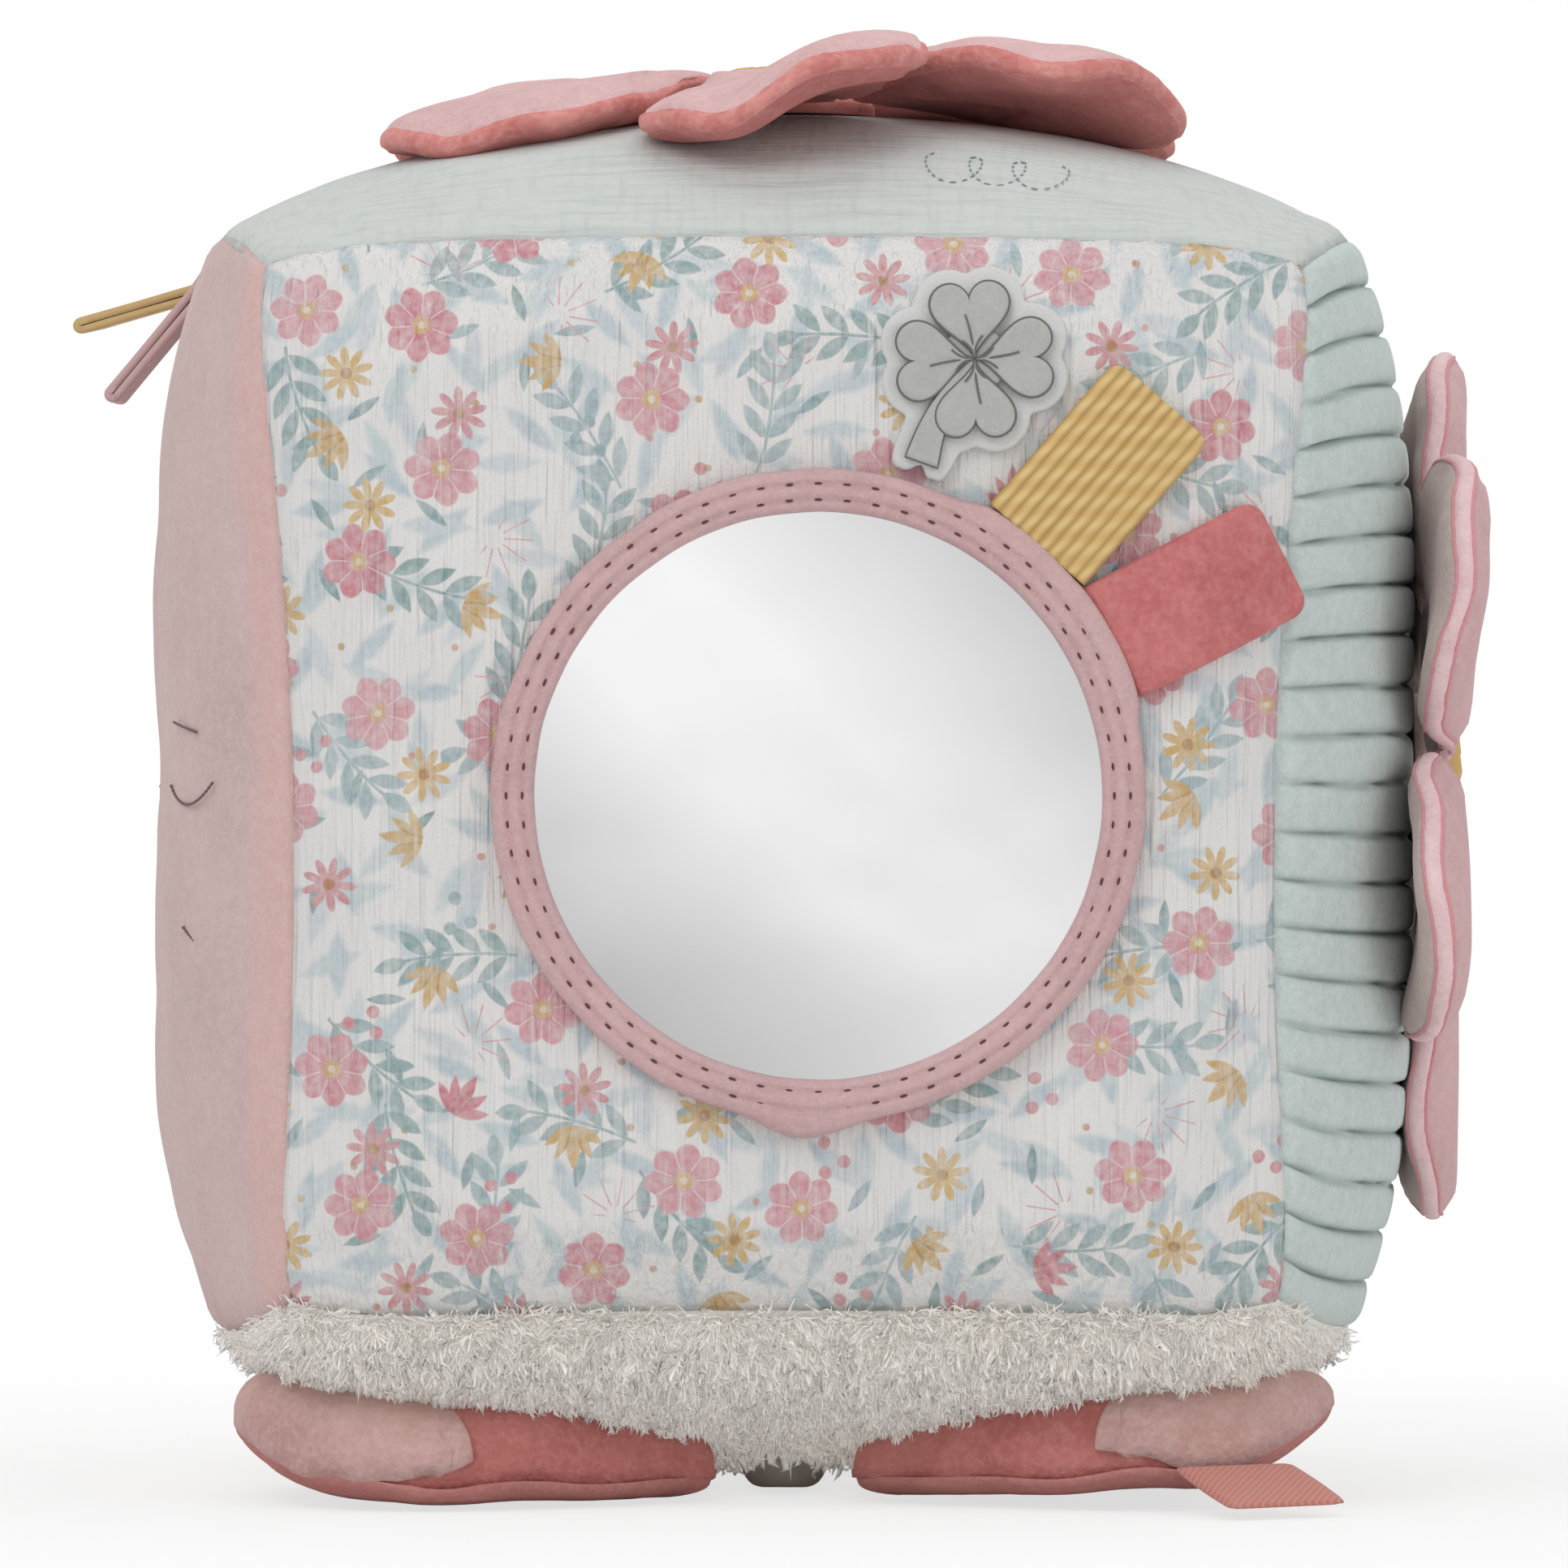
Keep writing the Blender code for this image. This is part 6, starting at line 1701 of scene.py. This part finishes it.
def make_belly():
    """The belly's cloth, and its wool as curled locks that hang ragged over the wings."""
    cube_panel("bottom_panel", 2, -1.0, "teddy", 0.0008, 0.0004, 6.0)
    lock, tree = lock_shape(), pile_tree()
    cells = 80
    base, a, b = face_grid(2, -1.0, cells, cells)
    normal = grid_normals(base)
    if normal[cells // 2, cells // 2, 2] > 0.0:
        normal = -normal
    border = np.minimum(1.0 - abs(a), 1.0 - abs(b)) * HALF_EDGE * 1000.0
    hang = np.exp(-((border / 15.0) ** 2))
    length = 0.0036 + 0.0024 * hang + 0.0012 * np.clip((-base[..., 1] - 0.040) / 0.02, 0.0, 1.0)
    length *= 1.0 - 0.45 * np.clip((abs(base[..., 0]) - 0.060) / 0.015, 0.0, 1.0)
    length *= 1.0 - 0.5 * np.exp(-((border / 4.0) ** 2))
    length = np.minimum(length, np.maximum(0.0014, base[..., 2] * 0.72))
    drop = np.array((0.0, 0.0, -1.0)) * np.clip(border / 7.0, 0.15, 1.0)[..., None] * 0.8
    over_seam = np.exp(-((border / 1.6) ** 2)) * (base[..., 1] < -0.06)
    way = normal * (0.4, 1.0, 1.0) + drop * 1.2 + np.array((0.0, 0.0, 0.95)) * over_seam[..., None]
    x, y = base[..., 0], base[..., 1]
    front_band = y < -0.043
    inner, outer = 0.015, 0.045
    parts = (
        ("pile_front_left", front_band & (x < -outer), 0.25),
        ("pile_left_of_middle", front_band & (x >= -outer) & (x < -inner), 0.25),
        ("pile_front_middle", front_band & (abs(x) <= inner), 0.25),
        ("pile_right_of_middle", front_band & (x > inner) & (x <= outer), 0.25),
        ("pile_front_right", front_band & (x > outer), 0.25),
        ("pile_back", y > outer, 0.42),
        ("pile_middle", ~front_band & (y <= outer), 0.8),
    )
    for number, (name, inside, fullness) in enumerate(parts):
        mesh = bpy.data.meshes.new(name + "_ground")
        faces = [face for face in grid_faces(cells, cells) if inside.ravel()[face[0]]]
        mesh.from_pydata((base + normal * -0.0002).reshape(-1, 3).tolist(), [], faces)
        for label, kind, values in (("pile_length", "FLOAT", length), ("pile_way", "FLOAT_VECTOR", way)):
            layer = mesh.attributes.new(label, kind, "POINT")
            layer.data.foreach_set("value" if kind == "FLOAT" else "vector", values.astype(np.float32).ravel())
        area = sum(polygon.area for polygon in mesh.polygons)
        ground = linked(name, mesh)
        count = PILE_LIMIT / LOCK_TRIANGLES
        set_tree(ground, tree, Density=count / area, Seed=4 + number, Curl=LOCK_CURL, Fullness=fullness, Lock=lock,
                 Wool=FINISHES["pile"])
        declared(baked(ground), BLOCK)
    bpy.data.objects.remove(lock)


# ---------------------------------------------------------------- embroidery

def on_panel(axis, sign, flat, out=0.0006):
    """Puts flat places (a, b from -1 to 1) on a cube side, a little out of the cloth."""
    base = on_side(axis, sign, *np.asarray(flat, float).T)
    away = base - CENTRE
    away = away / np.linalg.norm(away, axis=1, keepdims=True)
    level = np.zeros(3)
    level[axis] = sign
    away = away * 0.35 + level * 0.65
    return base + away / np.linalg.norm(away, axis=1, keepdims=True) * out


def make_embroidery():
    """Sleepy marks on the left side and a curly running stitch on top: plain figures of their own."""
    marks = []
    mirror = -0.23
    s = np.linspace(0.0, 1.0, 14)
    for first, second, dip in (
        ((-0.70, 0.095), (-0.57, 0.112), 0.0),
        ((-0.77, 0.0), (-0.54, -0.005), -0.035),
        ((-0.73, -0.302), (-0.63, -0.262), 0.0),
    ):
        a = first[0] + (second[0] - first[0]) * s
        b = first[1] + (second[1] - first[1]) * s + dip * 4.0 * s * (1.0 - s)
        marks.append((on_panel(0, -1.0, np.stack((a, b), -1), 0.0003), False))
        marks.append((on_panel(0, -1.0, np.stack((2.0 * mirror - a, b), -1), 0.0003), False))
    stitched("left_marks", marks, 0.0011, 0.0013, 0.00045, "taupe_thread")
    t = np.linspace(0.0, 1.0, 120)
    a = 0.265 + 0.235 * t - 0.028 * np.sin(t * math.tau * 3.0)
    b = -0.745 - 0.012 * t + 0.072 * np.cos(t * math.tau * 3.0)
    curls = on_panel(2, 1.0, np.stack((a, b), -1), 0.0002)
    stitched("top_curls", [(curls, False)], 0.0019, 0.0011, 0.0003, "mint_thread")


# ---------------------------------------------------------------- the stage

# The photo's pixels per millimetre at the front's seams, and its width in pixels
PHOTO_SCALE = 8.93
PHOTO_WIDTH = 1932.0
CAMERA_DISTANCE = 1.475
# How bright the white world is for all but the camera's and the mirror's rays, which see it in full
SKY_STRENGTH = 0.62


def make_stage():
    """The white world, a floor that fades into it, three soft lights and the photo's camera."""
    scene = bpy.context.scene
    scene.view_settings.view_transform = "Standard"
    world = bpy.data.worlds.new("studio")
    scene.world = world
    world.use_nodes = True
    nodes = Nodes(world.node_tree)
    rays = nodes.add("ShaderNodeLightPath", None, None, "Is Camera Ray")
    seen = rays.math("MAXIMUM", rays["Is Glossy Ray"]).math("MAXIMUM", rays["Is Transmission Ray"])
    background = world.node_tree.nodes["Background"]
    background.inputs["Color"].default_value = (1.0, 1.0, 1.0, 1.0)
    strength = seen * (1.0 - SKY_STRENGTH) + SKY_STRENGTH
    world.node_tree.links.new(strength.socket, background.inputs["Strength"])
    mesh = bpy.data.meshes.new("floor")
    half = 6.0
    corners = [(x * half, y * half, -0.0001) for x, y in ((-1, -1), (1, -1), (1, 1), (-1, 1))]
    mesh.from_pydata(corners, [], [(0, 1, 2, 3)])
    floor = linked("floor", mesh)
    paper = bpy.data.materials.new("paper_floor")
    paper.use_nodes = True
    tree = Nodes(paper.node_tree)
    shader = paper.node_tree.nodes["Principled BSDF"]
    shader.inputs["Base Color"].default_value = (0.9, 0.9, 0.9, 1.0)
    shader.inputs["Roughness"].default_value = 0.95
    shader.inputs["Specular IOR Level"].default_value = 0.0
    white = tree.add("ShaderNodeEmission", None, {"Color": (1.0, 1.0, 1.0, 1.0), "Strength": 1.0})
    place = tree.add("ShaderNodeTexCoord", None, None, "Object")
    away = tree.vector_math("LENGTH", {0: place}, "Value")
    camera_ray = tree.add("ShaderNodeLightPath", None, None, "Is Camera Ray")
    share = ((away - 0.10) / 0.22).clamp() * 0.3 + 0.7
    joined = tree.add("ShaderNodeMixShader", None, {0: share * camera_ray})
    tree.tree.links.new(shader.outputs[0], joined.socket.node.inputs[1])
    tree.tree.links.new(white.socket, joined.socket.node.inputs[2])
    tree.tree.links.new(joined.socket, paper.node_tree.nodes["Material Output"].inputs["Surface"])
    mesh.materials.append(paper)
    for name, place, energy, size in (
        ("key", (-0.55, -0.95, 1.05), 5.2, 0.9),
        ("fill", (1.1, -1.0, 0.45), 2.5, 1.0),
        ("top", (0.1, 0.25, 1.25), 3.2, 1.1),
    ):
        light = bpy.data.lights.new(name, "AREA")
        light.energy = energy
        light.shape = "DISK"
        light.size = size
        made = linked(name, light)
        made.location = place
        aim = Vector((0.0, 0.0, 0.09)) - Vector(place)
        made.rotation_euler = aim.to_track_quat("-Z", "Y").to_euler()
        made.visible_glossy = False
    camera = linked("camera", bpy.data.cameras.new("camera"))
    camera.location = (0.0, -CAMERA_DISTANCE, CENTRE_HEIGHT)
    camera.rotation_euler = (math.pi / 2.0, 0.0, 0.0)
    camera.data.sensor_width = 36.0
    front_away = (CAMERA_DISTANCE - HALF_EDGE) * 1000.0
    camera.data.lens = camera.data.sensor_width * PHOTO_SCALE * front_away / PHOTO_WIDTH
    camera.data.clip_end = 20.0
    scene.camera = camera


make_core()
make_cube()
make_ribs()
make_mirror()
make_tags()
make_loops()
make_flowers()
make_butterfly()
make_belly()
make_embroidery()
make_stage()
